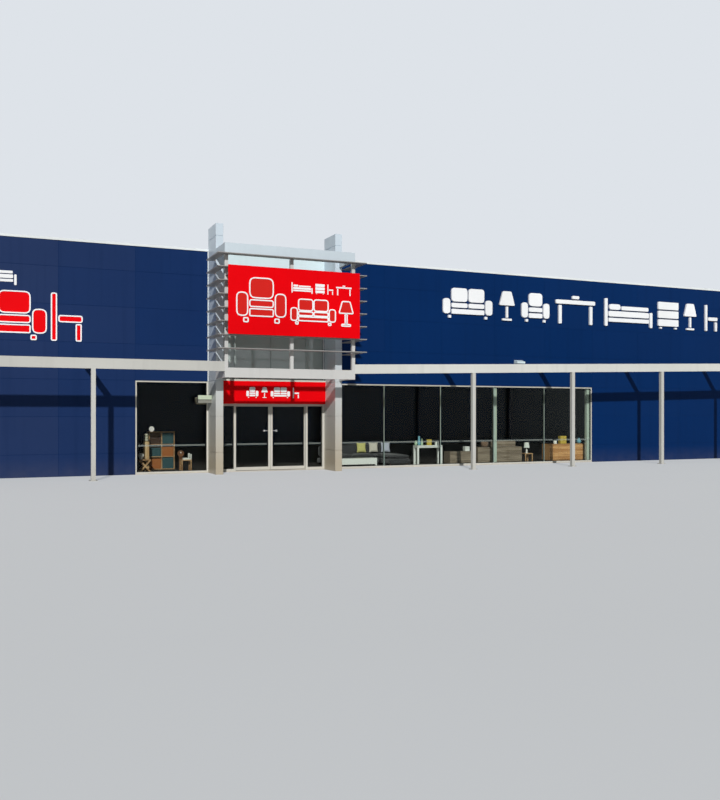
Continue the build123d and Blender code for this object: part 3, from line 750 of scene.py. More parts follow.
steel = stainless("brushed_stainless")
sidelight_low, sidelight_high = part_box("sidelight_glass")
sidelights = [
    (sidelight_low.x, sidelight_low.x + sidelight_width, sidelight_low.z, sidelight_high.z),
    (sidelight_high.x - sidelight_width, sidelight_high.x, sidelight_low.z, sidelight_high.z),
]
side_front = sidelight_low.y
new_piece("sidelight_gaskets", [gasket_rings(sidelights, side_front - gasket_stand, side_front)], rubber,
          edge=0.001)
new_piece("sidelight_markers", [marker_squares(pane[0], pane[1], side_front) for pane in sidelights], film)
finish_nodes(frame_finish, "entrance_screen")
finish_nodes(shop_glass, "sidelight_glass")
for side in ("left", "right"):
    body = f"{side}_door_leaf"
    leaf_low, leaf_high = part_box(f"{side}_leaf_glass")
    grip_low, grip_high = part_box(f"{side}_leaf_handles")
    pane = (leaf_low.x, leaf_high.x, leaf_low.z, leaf_high.z)
    leaf_rings = [
        gasket_rings(pane, leaf_low.y - gasket_stand, leaf_low.y),
        gasket_rings(pane, leaf_high.y, leaf_high.y + gasket_stand),
    ]
    new_piece(f"{side}_leaf_gaskets", leaf_rings, rubber, body=body, edge=0.001)
    new_piece(f"{side}_leaf_markers", [marker_squares(pane[0], pane[1], leaf_low.y)], film,
              body=body)
    rose_x = grip_low.x + rose_radius if side == "left" else grip_high.x - rose_radius
    grip_width = grip_high.x - grip_low.x
    handle_parts = []
    for bar_y, rose_y in ((grip_low.y + handle_radius, leaf_low.y - rose_depth),
                          (grip_high.y - handle_radius, leaf_high.y)):
        handle_parts.append(rod((grip_low.x, bar_y, handle_level), grip_width, handle_radius, 0))
        handle_parts.append(rod((rose_x, rose_y, handle_level), rose_depth, rose_radius, 1))
    pull = new_piece(f"{side}_leaf_pulls", handle_parts, steel, body=body, weld=True)
    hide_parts(f"{side}_leaf_handles")
    finish_nodes(frame_finish, f"{side}_leaf_frame")
    finish_nodes(shop_glass, f"{side}_leaf_glass")
stile_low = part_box("left_leaf_frame")[0]
lock_place = (stile_low.x + lock_inset, stile_low.y - lock_depth, lock_level)
new_piece("left_leaf_lock", [rod(lock_place, lock_depth, lock_radius, 1)], steel,
          body="left_door_leaf", weld=True)
track_finish = coated_steel("operator_casing", casing_beige, 0.45, streaks=0.1)
finish_nodes(track_finish, "door_track", "door_operator")

# Portal: a welded box-section frame in off-white paint that stands out in front of the tower.
# Eight flat grey blades run round it and back to the pylons on short brackets.
portal_white = (200, 200, 198)
hood_white = (200, 212, 220)
blade_grey = (150, 148, 146)
cream_finish = coated_steel("portal_paint", portal_white, 0.48, streaks=0.2, splash=0.25)
blade_finish = coated_steel("blade_grey", blade_grey, 0.36, streaks=0.2, shine=0.3)
finish_nodes(cream_finish, "portal_lower_frame", "portal_posts")
finish_nodes(coated_steel("hood_paint", hood_white, 0.45, streaks=0.12), "portal_hood")
finish_nodes(blade_finish, "portal_louvres", "portal_brackets")

# Signs: a flat red tray of three sheets on the portal, and raised signs, all with furniture shapes.
# Each shape is a set of rounded plates, cut from sheet and held to the face by hidden studs.
sign_white = (240, 242, 244)
motif_red = (206, 34, 28)
outline_width = 0.036
plate_skin = 0.012
board_sheets = 3
sheet_gap = 0.004
sheet_skin = 0.012
backing_inset = 0.004
board_row_bottom = 0.36
big_chair_start = -1.80
big_chair_height = 1.28
low_row_lead = 0.16
small_row_lead = 0.18
small_row_bottom = 1.28
header_row_start = -0.86
header_row_bottom = 0.19
header_plate = 0.02


def rounded(corners, radius, steps=5):
    """An outline with rounded corners: near each corner the curve runs from a point one radius
    before it to one after it, as (1-t)^2 start + 2t(1-t) corner + t^2 end."""
    corners = np.array(corners, float)
    before = np.roll(corners, 1, axis=0) - corners
    after = np.roll(corners, -1, axis=0) - corners
    start = corners + radius * before / np.linalg.norm(before, axis=1, keepdims=True)
    end = corners + radius * after / np.linalg.norm(after, axis=1, keepdims=True)
    t = np.linspace(0, 1, steps)[None, :, None]
    curve = (1 - t) ** 2 * start[:, None] + 2 * t * (1 - t) * corners[:, None] + t ** 2 * end[:, None]
    return curve.reshape(-1, 2)


def box_outline(x_low, z_low, x_high, z_high, radius):
    """A rounded rectangle."""
    return rounded([(x_low, z_low), (x_high, z_low), (x_high, z_high), (x_low, z_high)], radius)


def plate(outline, y_front, y_back):
    """A flat plate with an (x, z) outline, from its front to its back."""
    count = len(outline)
    points = np.zeros((2, count, 3))
    points[..., 0] = outline[:, 0]
    points[..., 2] = outline[:, 1]
    points[0, :, 1] = y_front
    points[1, :, 1] = y_back
    here = np.arange(count)
    after = np.roll(here, -1)
    sides = np.stack([here, here + count, after + count, after], axis=1).tolist()
    return points.reshape(-1, 3), [here.tolist(), (here + count)[::-1].tolist()] + sides


def outline_band(outline, width, y_front, y_back):
    """A strip that follows an outline: at each point the outline moves out and in by half the
    width along its normal, which is the turned difference of its two neighbours."""
    along = np.roll(outline, -1, axis=0) - np.roll(outline, 1, axis=0)
    normal = np.stack([along[:, 1], -along[:, 0]], axis=1)
    normal /= np.linalg.norm(normal, axis=1, keepdims=True)
    outer, inner = outline + normal * width / 2, outline - normal * width / 2
    section = ((outer, y_front), (inner, y_front), (inner, y_back), (outer, y_back))
    points = np.zeros((len(outline), 4, 3))
    for number, (line, y) in enumerate(section):
        points[:, number, 0] = line[:, 0]
        points[:, number, 1] = y
        points[:, number, 2] = line[:, 1]
    return points.reshape(-1, 3), grid_quads(len(outline), 4, True, True)


# The furniture shapes, one unit high: the width of each, and its rounded rectangles by left, bottom,
# right, top and corner radius
furniture_shapes = {
    "sofa": (1.9, [
        (0.20, 0.00, 0.30, 0.09, 0.02), (1.60, 0.00, 1.70, 0.09, 0.02),
        (0.00, 0.14, 0.27, 0.64, 0.11), (1.63, 0.14, 1.90, 0.64, 0.11),
        (0.32, 0.14, 1.58, 0.30, 0.03), (0.32, 0.35, 0.925, 0.50, 0.05), (0.975, 0.35, 1.58, 0.50, 0.05),
        (0.32, 0.55, 0.925, 1.00, 0.11), (0.975, 0.55, 1.58, 1.00, 0.11),
    ]),
    "armchair": (1.15, [
        (0.16, 0.00, 0.26, 0.09, 0.02), (0.89, 0.00, 0.99, 0.09, 0.02),
        (0.00, 0.14, 0.25, 0.66, 0.11), (0.90, 0.14, 1.15, 0.66, 0.11),
        (0.30, 0.14, 0.85, 0.30, 0.03), (0.30, 0.35, 0.85, 0.50, 0.05), (0.30, 0.55, 0.85, 1.00, 0.13),
    ]),
    "bed": (2.2, [
        (0.00, 0.00, 0.12, 1.00, 0.04), (2.08, 0.00, 2.20, 0.56, 0.04), (0.17, 0.16, 2.03, 0.30, 0.02),
        (0.17, 0.35, 2.03, 0.55, 0.06), (0.20, 0.60, 0.70, 0.80, 0.09), (0.75, 0.60, 2.01, 0.74, 0.05),
    ]),
    "table": (1.7, [
        (0.00, 0.70, 1.70, 0.84, 0.04), (0.12, 0.00, 0.24, 0.65, 0.02), (1.46, 0.00, 1.58, 0.65, 0.02),
        (0.70, 0.89, 1.00, 1.00, 0.04),
    ]),
    "chair": (0.62, [
        (0.00, 0.00, 0.10, 1.00, 0.03), (0.15, 0.40, 0.62, 0.53, 0.04), (0.50, 0.00, 0.60, 0.35, 0.02),
    ]),
    "chest": (0.98, [
        (0.00, 0.72, 0.98, 1.00, 0.04), (0.00, 0.40, 0.98, 0.67, 0.04), (0.00, 0.10, 0.98, 0.35, 0.04),
        (0.08, 0.00, 0.18, 0.06, 0.01), (0.80, 0.00, 0.90, 0.06, 0.01),
    ]),
    "shelves": (0.92, [
        (0.00, 0.00, 0.09, 1.00, 0.02), (0.83, 0.00, 0.92, 1.00, 0.02), (0.13, 0.02, 0.79, 0.10, 0.02),
        (0.13, 0.33, 0.79, 0.41, 0.02), (0.13, 0.64, 0.79, 0.72, 0.02), (0.16, 0.14, 0.42, 0.29, 0.02),
        (0.50, 0.45, 0.60, 0.60, 0.01), (0.64, 0.45, 0.74, 0.60, 0.01), (0.20, 0.76, 0.46, 0.92, 0.05),
    ]),
    "lamp": (0.62, [(0.27, 0.10, 0.35, 0.48, 0.01), (0.12, 0.00, 0.50, 0.07, 0.03)]),
}
shade_outline = [(0.00, 0.52), (0.62, 0.52), (0.48, 1.00), (0.14, 1.00)]


def furniture_row(names, x, z_start, height, gap):
    """The outlines of a row of furniture shapes from left to right."""
    outlines = []
    for name in names:
        width, rectangles = furniture_shapes[name]
        shapes = [box_outline(*rectangle) for rectangle in rectangles]
        if name == "lamp":
            shapes.append(rounded(shade_outline, 0.05))
        outlines += [shape * height + np.array([x, z_start]) for shape in shapes]
        x += width * height + gap
    return outlines


def row_width(names, height, gap):
    """The widths of a row's shapes at this height, and the gaps between them."""
    return sum(furniture_shapes[name][0] for name in names) * height + (len(names) - 1) * gap


def raised_sign(name, outlines, y_front, y_back, finish):
    """Plates on a face, one for each outline."""
    plates = [plate(outline, y_front, y_back) for outline in outlines]
    new_piece(name, plates, finish, edge=0.002)


def outlined_sign(name, outlines, face_y, fill_finish):
    """Red plates with a white rim standing a little proud of them."""
    raised_sign(f"{name}_fill", outlines, face_y - plate_skin, face_y, fill_finish)
    rims = [outline_band(outline, outline_width, face_y - 2 * plate_skin, face_y) for outline in outlines]
    new_piece(f"{name}_rim", rims, sign_finish, weld=True)


sign_finish = coated_steel("sign_white", sign_white, 0.35, streaks=0.08)
motif_finish = coated_steel("motif_red", motif_red, 0.36, streaks=0.08)
board_low, board_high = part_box("sign_board")
board_front = board_low.y + 2 * plate_skin
sheet_edges = np.linspace(board_low.x, board_high.x, board_sheets + 1)
sheets = blocks(rows_of(sheet_edges[:-1] + sheet_gap / 2, board_front, board_low.z),
                rows_of(sheet_edges[1:] - sheet_gap / 2, board_front + sheet_skin, board_high.z))
backing = blocks((board_low.x + backing_inset, board_front + sheet_skin, board_low.z + backing_inset),
                 (board_high.x - backing_inset, board_high.y, board_high.z - backing_inset))
tray = new_piece("sign_tray", [sheets, backing], red_finish, edge=0.003)
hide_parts("sign_board")
low_row_z = board_low.z + board_row_bottom
small_row_z = board_low.z + small_row_bottom
big_chair_x = entrance_x + big_chair_start
big_chair_end = big_chair_x + row_width(["armchair"], big_chair_height, 0)
big_chair = furniture_row(["armchair"], big_chair_x, low_row_z, big_chair_height, gap=0)
low_row = furniture_row(["sofa", "lamp"], big_chair_end + low_row_lead, low_row_z, height=0.74, gap=0.12)
small_row = furniture_row(["bed", "chest", "chair", "table"], big_chair_end + small_row_lead, small_row_z,
                          height=0.30, gap=0.09)
outlined_sign("board_motif", big_chair + low_row, board_front, motif_finish)
raised_sign("board_small_row", small_row, board_front - plate_skin, board_front, sign_finish)
header_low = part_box("header_band")[0]
header_row = furniture_row(["armchair", "lamp", "sofa", "chair"], entrance_x + header_row_start,
                           header_low.z + header_row_bottom, height=0.34, gap=0.10)
raised_sign("header_row", header_row, header_low.y - header_plate, header_low.y, sign_finish)

# Long raised sign on the right wing: white furniture shapes a little over a metre high.
# They are folded trays 70 mm deep, fixed on the panels, so each throws a thin shadow.
right_sign_start = 6.243
right_sign_bottom = 5.21
right_sign_height = 1.06
right_sign_gap = 0.30
group_gap = 0.47
tray_depth = 0.07
sign_back = front_y - panel_skin
sign_x = entrance_x + right_sign_start
right_groups = (
    ["sofa", "lamp", "armchair", "table"],
    ["bed", "chest", "lamp"],
    ["chair", "shelves", "armchair"],
)
right_outlines = []
for names in right_groups:
    right_outlines += furniture_row(names, sign_x, right_sign_bottom, right_sign_height, right_sign_gap)
    sign_x += row_width(names, right_sign_height, right_sign_gap) + group_gap
raised_sign("right_wall_sign", right_outlines, sign_back - tray_depth, sign_back, sign_finish)

# Large sign on the left wing: red shapes with white rims, and a small white row above them.
# The plates are cut from sheet as on the portal's board, each row measured from its right end.
left_sign_bottom = 3.965
left_sign_height = 1.365
left_sign_gap = 0.14
left_sign_end = -5.80
tall_chair_gap = 0.5
left_small_bottom = 5.50
left_small_height = 0.54
left_small_gap = 0.16
left_small_end = -7.58
left_names = ["sofa", "chair"]
left_start = entrance_x + left_sign_end - row_width(left_names, left_sign_height, left_sign_gap)
left_row = furniture_row(left_names, left_start, left_sign_bottom, left_sign_height, left_sign_gap)
tall_height = left_small_bottom + left_small_height - left_sign_bottom
tall_start = left_row[0][:, 0].min() - tall_chair_gap - row_width(["armchair"], tall_height, 0)
tall_chair = furniture_row(["armchair"], tall_start, left_sign_bottom, tall_height, gap=0)
small_names = ["table", "lamp", "bed"]
small_start = entrance_x + left_small_end - row_width(small_names, left_small_height, left_small_gap)
left_small = furniture_row(small_names, small_start, left_small_bottom, left_small_height, left_small_gap)
outlined_sign("left_wall_motif", tall_chair + left_row, sign_back, red_finish)
small_front = sign_back - 2 * plate_skin
raised_sign("left_wall_small_row", left_small, small_front, sign_back, sign_finish)

# Canopy frame: off-white box-section beams on posts, with an arm from each post back to the wall.
# Posts stand on base plates held down by four galvanised anchor bolts.
bolt_offset = 0.082
bolt_radius = 0.011
bolt_height = 0.014
washer_radius = 0.017
washer_height = 0.003
nut_chamfer = 0.003
nut_crown = 0.8
galvanised_grey = (150, 152, 152)
plate_half = 0.11
plate_top = 0.016
bay = 4.0
left_posts = 3
right_posts = 5
canopy_cream = (190, 190, 185)
# The right beam takes a lighter copy of the canopy paint: painted light on the same steel and paint as the
# left beam.
right_beam_painted_light_cream = (207, 208, 203)
canopy_finish = coated_steel("canopy_paint", canopy_cream, 0.48, streaks=0.22, splash=0.25)
finish_nodes(canopy_finish, "left_canopy_beam", "canopy_posts", "canopy_outriggers")
finish_nodes(coated_steel("right_beam_painted_light", right_beam_painted_light_cream, 0.48, streaks=0.22), "right_canopy_beam")
post_low, post_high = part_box("canopy_posts")
post_y = post_low.y + plate_half
post_lines = [post_low.x + plate_half + bay * number for number in range(left_posts)]
post_lines += [post_high.x - plate_half - bay * number for number in range(right_posts)]


def hexagon_nut(place):
    """A hexagon nut with a chamfered top on a round washer."""
    washer = turned(place, [(0, 0), (washer_radius, 0), (washer_radius, washer_height), (0, washer_height)])
    top = washer_height + bolt_height
    profile = [(0, washer_height), (bolt_radius, washer_height), (bolt_radius, top - nut_chamfer),
               (bolt_radius * nut_crown, top), (0, top)]
    return [washer, turned(place, profile, segments=6)]


bolt_parts = []
for line in post_lines:
    for step_x in (-bolt_offset, bolt_offset):
        for step_y in (-bolt_offset, bolt_offset):
            bolt_parts += hexagon_nut((line + step_x, post_y + step_y, plate_top))
bolt_finish = coated_sheet("galvanised_bolts", galvanised_grey)
new_piece("anchor_bolts", bolt_parts, bolt_finish, weld=True)

# Wall floodlight over the right canopy: a white cast hood with a pale lens under it.
# The small box sign on the left pylon is a folded tray. Its front is painted light and shade: the upper face
# glows faintly in place of sunlight, and a darker grey plate below stands in for shade.
# Painted light and shade on the box sign: a glow on the upper face and a darker grey plate below.
sign_face = (203, 214, 188)
sign_plate_painted_shade = (130, 130, 121)
sign_side = (70, 72, 66)
sign_painted_light = 0.6
sign_border = 0.46
sign_border_blur = 0.003
sign_face_skin = (0.001, 0.003)
sign_grime = (96, 96, 88)
lens_pale = (206, 214, 214)
lens_inset = 0.03
lens_front = 0.02
lens_back = 0.05
lens_drop = 0.006
finish_nodes(fascia_finish, "wall_light")
light_low, light_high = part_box("wall_light")
lens = blocks((light_low.x + lens_inset, light_low.y + lens_front, light_low.z - lens_drop),
              (light_high.x - lens_inset, light_high.y - lens_back, light_low.z))
lens_finish = coated_steel("light_lens", lens_pale, 0.2, streaks=0.0)
new_piece("wall_light_lens", [lens], lens_finish, edge=0.002)


def painted_light_tray(name, low, high):
    """Dark folded sides; on the front, a face above the border that glows as painted light and a darker plate
    below it as painted shade, both with a little grime."""
    material, tree, shader = new_finish(name, 0.4)
    border = low.z + sign_border * (high.z - low.z)
    upper = spread(tree, axis_of(tree, "Z"), border - sign_border_blur, border + sign_border_blur)
    skin_low, skin_high = sign_face_skin
    front = spread(tree, axis_of(tree, "Y"), low.y + skin_low, low.y + skin_high, 1.0, 0.0)
    tone = mixed(tree, upper, shade(sign_plate_painted_shade), shade(sign_face))
    tone = mixed(tree, front, shade(sign_side), tone)
    grime = spread(tree, cloud(tree, 14.0, (1, 1, 0.2)), 0.5, 0.8, 0.0, 0.3)
    paint(tree, shader, mixed(tree, grime, tone, shade(sign_grime)))
    shader.inputs["Emission Color"].default_value = shade(sign_face)
    # Painted light: the glow stands in for sunlight on the upper face, which lies in the canopy beam's shade.
    put(tree, product(tree, product(tree, upper, front), sign_painted_light), shader.inputs["Emission Strength"])
    relief(tree, shader, cloud(tree, 420, detail=1.0), 0.0002)
    return material


finish_nodes(painted_light_tray("box_sign_tray", *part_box("box_sign")), "box_sign")

# Oak furniture in the left window: an open bookcase, a side table and a cross-legged stool.
# Solid oak, oiled: a broad pale grain with thin dark lines of pores between its rings.
oak_pale = (196, 160, 116)
oak_dark = (148, 108, 68)
insert_gap = 0.006
insert_depth = 0.33
insert_setback = 0.02
board = 0.025
box_colours = {"teal": (50, 78, 82), "amber": (156, 94, 50), "brown": (66, 48, 38)}


def timber(name, pale, dark, roughness, along=(1, 18, 18), pores=0.35):
    """Planed wood: growth rings drawn out along the grain, with darker pores between them."""
    material, tree, shader = new_finish(name, roughness)
    rings = tree.nodes.new("ShaderNodeTexWave")
    rings.wave_type = "RINGS"
    rings.inputs["Scale"].default_value = 1.3
    rings.inputs["Distortion"].default_value = 6.0
    rings.inputs["Detail"].default_value = 3.0
    tree.links.new(place_on(tree, along), rings.inputs["Vector"])
    tone = mixed(tree, rings.outputs["Fac"], shade(pale), shade(dark))
    fibre = cloud(tree, 9.0, tuple(8 * share for share in along), detail=6.0)
    dark_pores = spread(tree, fibre, 0.5, 0.75, 0.0, pores)
    paint(tree, shader, mixed(tree, dark_pores, tone, shade(dark, 0.6)))
    uneven_gloss(tree, shader, fibre, roughness * 0.85, roughness * 1.2)
    relief(tree, shader, fibre, 0.0006)
    return material


def woven(name, colour, pitch, shine=0.1):
    """Plain-woven cloth: waves of yarn along X, Y and Z, two of which cross on any face, and slubs
    that vary the tone."""
    material, tree, shader = new_finish(name, 0.9)
    shader.inputs["Sheen Weight"].default_value = shine
    base = shade(colour)
    slubs = mixed(tree, cloud(tree, 60, detail=3.0), scaled(base, 0.72), scaled(base, 1.25))
    paint(tree, shader, slubs)
    for direction in ("X", "Y", "Z"):
        yarn = tree.nodes.new("ShaderNodeTexWave")
        yarn.bands_direction = direction
        yarn.inputs["Scale"].default_value = 1 / pitch
        tree.links.new(place_on(tree), yarn.inputs["Vector"])
        relief(tree, shader, yarn.outputs["Fac"], pitch * 0.12)
    relief(tree, shader, cloud(tree, 14.0), 0.004)
    return material


oak = timber("oiled_oak", oak_pale, oak_dark, 0.5)
finish_nodes(oak, "bookcase", "small_tables")
case_low, case_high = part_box("bookcase")
cell_width = (case_high.x - case_low.x - 3 * board) / 2
cell_height = (case_high.z - case_low.z - 4 * board) / 3
# Each box by its colour, column and row, and the share of the cell's height that it fills
cell_fill = (
    ("amber", 0, 0, 0.86), ("teal", 1, 0, 0.94), ("teal", 0, 1, 0.72), ("amber", 1, 1, 0.80),
    ("brown", 0, 2, 0.55), ("teal", 1, 2, 0.92),
)
for colour in box_colours:
    parts = []
    for kind, column, row, share in cell_fill:
        if kind == colour:
            x_low = case_low.x + board + column * (cell_width + board) + insert_gap
            z_low = case_low.z + board + row * (cell_height + board)
            x_high = x_low + cell_width - 2 * insert_gap
            y_low = case_low.y + insert_setback
            z_high = z_low + share * cell_height
            parts.append(blocks((x_low, y_low, z_low), (x_high, y_low + insert_depth, z_high)))
    canvas = woven(f"{colour}_canvas", box_colours[colour], 0.004)
    new_piece(f"{colour}_storage_boxes", parts, canvas, edge=0.008)

# Ornaments in the left window: a white globe that glows with painted light, a banded jar on an oak
# pedestal, books, a round clock and a round lamp. The pottery is thrown and glazed, and the wood is planed
# and oiled.
ceramic_white = (232, 230, 222)
ceramic_speck = (206, 200, 190)
globe_painted_light = 0.6
jar_bands = (206, 200, 178)
jar_bands_dark = (150, 146, 118)
light_oak_pale = (214, 186, 142)
light_oak_dark = (182, 146, 100)
book_white = (226, 226, 218)
walnut_pale = (128, 84, 52)
walnut_dark = (84, 52, 32)
pedestal_top = 0.95
clock_level = 0.53
wave_length = 0.31


def glazed(name, colour, second, band_pitch_z=0.0):
    """Glazed pottery: a clear coat over a body with fine specks. Where a band pitch is given, rings
    of the second tone go round it; at scale 1 the rings of the texture are one wave length apart."""
    material, tree, shader = new_finish(name, 0.25)
    shader.inputs["Coat Weight"].default_value = 0.5
    specks = spread(tree, cloud(tree, 220, detail=2.0), 0.62, 0.72, 0.0, 0.5)
    tone = shade(colour)
    if band_pitch_z:
        rings = tree.nodes.new("ShaderNodeTexWave")
        rings.bands_direction = "Z"
        rings.inputs["Scale"].default_value = wave_length / band_pitch_z
        rings.inputs["Distortion"].default_value = 0.6
        tree.links.new(place_on(tree), rings.inputs["Vector"])
        tone = mixed(tree, spread(tree, rings.outputs["Fac"], 0.45, 0.55), tone, shade(second))
    paint(tree, shader, mixed(tree, specks, tone, shade(second)))
    relief(tree, shader, cloud(tree, 25), 0.0012)
    return material


def beside(place, across, back, up=0.0):
    """A place moved along X, Y and Z."""
    return (place[0] + across, place[1] + back, place[2] + up)


def box_at(place, low, high):
    """Boxes by their lowest and highest corners, seen from a place."""
    return blocks(np.array(place) + low, np.array(place) + high)


def vessel(place, height, *radii):
    """A turned body whose radii are spaced evenly up its height, closed to the axis at both ends."""
    levels = np.linspace(0, height, len(radii))
    return turned(place, [(0, 0), *zip(radii, levels), (0, height)])


def pottery(name, bodies, glaze):
    """Turned bodies as one glazed piece."""
    new_piece(name, bodies, glaze, weld=True, smooth=1)


window_floor = (entrance_x, front_y, floor_level)
white_glaze = glazed("white_glaze", ceramic_white, ceramic_speck)
globe_glass = glazed("globe_glass", ceramic_white, ceramic_speck)
# Painted light: the globe's glow stands in for sunlight on it, which the canopy beam's shade keeps off.
globe_shader = globe_glass.node_tree.nodes["Principled BSDF"]
globe_shader.inputs["Emission Color"].default_value = shade(ceramic_white)
globe_shader.inputs["Emission Strength"].default_value = globe_painted_light
globe_place = (case_low.x + 0.11, case_low.y + 0.12, case_high.z)
globe = vessel(globe_place, 0.17, 0.04, 0.073, 0.086, 0.086, 0.071, 0.038)
pottery("white_globe", [globe], globe_glass)
stool_place = beside(window_floor, -3.95, 0.95, 0.38)
round_lamp = vessel(stool_place, 0.20, 0.05, 0.04, 0.07, 0.095, 0.098, 0.082, 0.045)
pottery("round_lamp", [round_lamp], white_glaze)
pedestal = blocks((entrance_x - 3.82, front_y + 1.26, floor_level),
                  (entrance_x - 3.65, front_y + 1.43, pedestal_top))
light_oak = timber("pale_oak", light_oak_pale, light_oak_dark, 0.5, along=(18, 18, 1))
new_piece("jar_pedestal", [pedestal], light_oak, edge=0.006)
jar_place = (entrance_x - 3.735, front_y + 1.345, pedestal_top)
jar = vessel(jar_place, 0.25, 0.065, 0.078, 0.08, 0.06, 0.075, 0.075, 0.05)
jar_glaze = glazed("banded_glaze", jar_bands, jar_bands_dark, 0.09)
pottery("banded_jar", [jar], jar_glaze)
book_lows = [(0, 0, 0), (0.01, 0.01, 0.03), (0.18, 0.06, 0.03), (0.25, 0.06, 0)]
book_highs = [(0.24, 0.18, 0.03), (0.16, 0.17, 0.055), (0.215, 0.16, 0.20), (0.28, 0.16, 0.17)]
books = box_at(beside(window_floor, -2.65, 0.86, 0.35), book_lows, book_highs)
new_piece("books", [books], woven("book_cloth", book_white, 0.003), edge=0.003)
clock_place = beside(window_floor, -2.65, 1.24, clock_level)
clock_foot = box_at(clock_place, (-0.05, 0, -clock_level), (0.05, 0.09, -0.09))
rim_profile = [(0, 0), (0.078, 0), (0.086, -0.01), (0.10, -0.01), (0.105, 0), (0.105, 0.05),
               (0.095, 0.06), (0, 0.06)]
clock_rim = turned(clock_place, rim_profile, axis=1, segments=32)
boss_profile = [(0, 0), (0.018, 0), (0.024, 0.006), (0, 0.006)]
clock_boss = turned(beside(clock_place, 0, -0.006, 0.03), boss_profile, axis=1)
new_piece("clock_boss", [clock_boss], white_glaze, weld=True)
walnut = timber("walnut", walnut_pale, walnut_dark, 0.45)
new_piece("wooden_clock", [clock_foot, clock_rim], walnut, weld=True)

# Coffee table and console in the right window: satin white lacquer sprayed on board.
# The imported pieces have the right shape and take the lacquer.
lacquer_white = (232, 234, 228)


def lacquer(name, colour):
    """Sprayed lacquer: satin, with brush-fine unevenness and faint scuffs."""
    material, tree, shader = new_finish(name, 0.3)
    scuffs = spread(tree, cloud(tree, 26, (1, 0.2, 1)), 0.58, 0.75, 0.0, 0.3)
    paint(tree, shader, mixed(tree, scuffs, shade(colour), shade(colour, 0.86)))
    uneven_gloss(tree, shader, cloud(tree, 9.0), 0.24, 0.38)
    relief(tree, shader, cloud(tree, 320, detail=1.0), 0.0001)
    return material


white_lacquer = lacquer("white_lacquer", lacquer_white)
finish_nodes(white_lacquer, "coffee_table", "console_table")

# Corner sofa: a timber frame padded with foam and covered in charcoal cloth, with loose seats.
# Every pad is sewn a little small and filled until it swells, with piping along its seams.
charcoal = (54, 54, 56)
piping_dark = (36, 36, 38)
seat_thickness = 0.16
cord_sides = 8
piping_radius = 0.006
seam_tilt = math.radians(45)
pad_cell = 0.018
pad_swell = 0.009
side_pull = 0.016
filling_pressure = 4.0
filling_steps = 20
chaise_width = 0.85
sofa_depth = 0.90
arm_width = 0.18
back_depth = 0.22
frame_inset = 0.01
chaise_overlap = 0.02
foot_height = 0.06
foot_radius = 0.025
foot_inset = 0.10
seat_crown = 0.03
frame_crown = 0.012
seat_gap = 0.004
frame_gap = 0.005
seam_pitch = 0.016
sofa_low, sofa_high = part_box("sofa")
seat_level = floor_level + 0.39
arm_level = floor_level + 0.53
seat_bottom = seat_level - seat_thickness
back_front_y = sofa_high.y - back_depth
seat_front_y = sofa_high.y - sofa_depth
seat_start = sofa_low.x + arm_width
chaise_start = sofa_high.x - chaise_width
seat_middle = seat_start + (chaise_start - sofa_low.x - arm_width) / 2


def pad_points(low, high, crown, tilt, turn, corner=0.28):
    """Points of a crowned pad, by the tilt from bottom to top and the turn round its middle. A
    superellipse in plan and in section, cosines and sines raised to the corner power, is drawn in
    by the pull times cos(2 turn)^2 and swelled by the crown at the middle of the top."""
    low, high = np.array(low, float) + pad_swell, np.array(high, float) - pad_swell
    centre, half = (low + high) / 2, (high - low) / 2

    def power(value):
        return np.sign(value) * np.abs(value) ** corner

    x = power(np.cos(tilt)) * power(np.cos(turn))
    y = power(np.cos(tilt)) * power(np.sin(turn))
    z = power(np.sin(tilt)) * np.ones_like(turn)
    pull = side_pull * np.cos(2 * turn) ** 2
    swell = np.clip(1 - x ** 2, 0, 1) * np.clip(1 - y ** 2, 0, 1)
    return np.stack([centre[0] + (half[0] - pull) * x, centre[1] + (half[1] - pull) * y,
                     centre[2] + (half[2] - crown) * z + crown * swell * z], axis=-1)


def pad(low, high, crown, rows=25, columns=48):
    """A pad's surface. The angles run as a - sin(4a) / 4, which spaces the points evenly."""
    tilt = np.linspace(-np.pi / 2, np.pi / 2, rows)[:, None]
    turn = np.linspace(0, 2 * np.pi, columns, endpoint=False)[None]
    points = pad_points(low, high, crown, tilt - np.sin(4 * tilt) / 4, turn - np.sin(4 * turn) / 4)
    return points.reshape(-1, 3), grid_quads(rows, columns, False, True)


def even_path(path, spacing):
    """The same closed line with its points evenly spaced."""
    closed = np.vstack([path, path[:1]])
    length = np.concatenate([[0], np.cumsum(np.linalg.norm(np.diff(closed, axis=0), axis=1))])
    places = np.linspace(0, length[-1], int(length[-1] / spacing), endpoint=False)
    return np.stack([np.interp(places, length, closed[:, axis]) for axis in range(3)], axis=1)


def points_of(mesh):
    """All points of a mesh as rows."""
    flat = np.empty(3 * len(mesh.vertices))
    mesh.vertices.foreach_get("co", flat)
    return flat.reshape(-1, 3)


def as_made(piece):
    """The piece's mesh with all that its modifiers do."""
    return bpy.data.meshes.new_from_object(piece.evaluated_get(bpy.context.evaluated_depsgraph_get()))


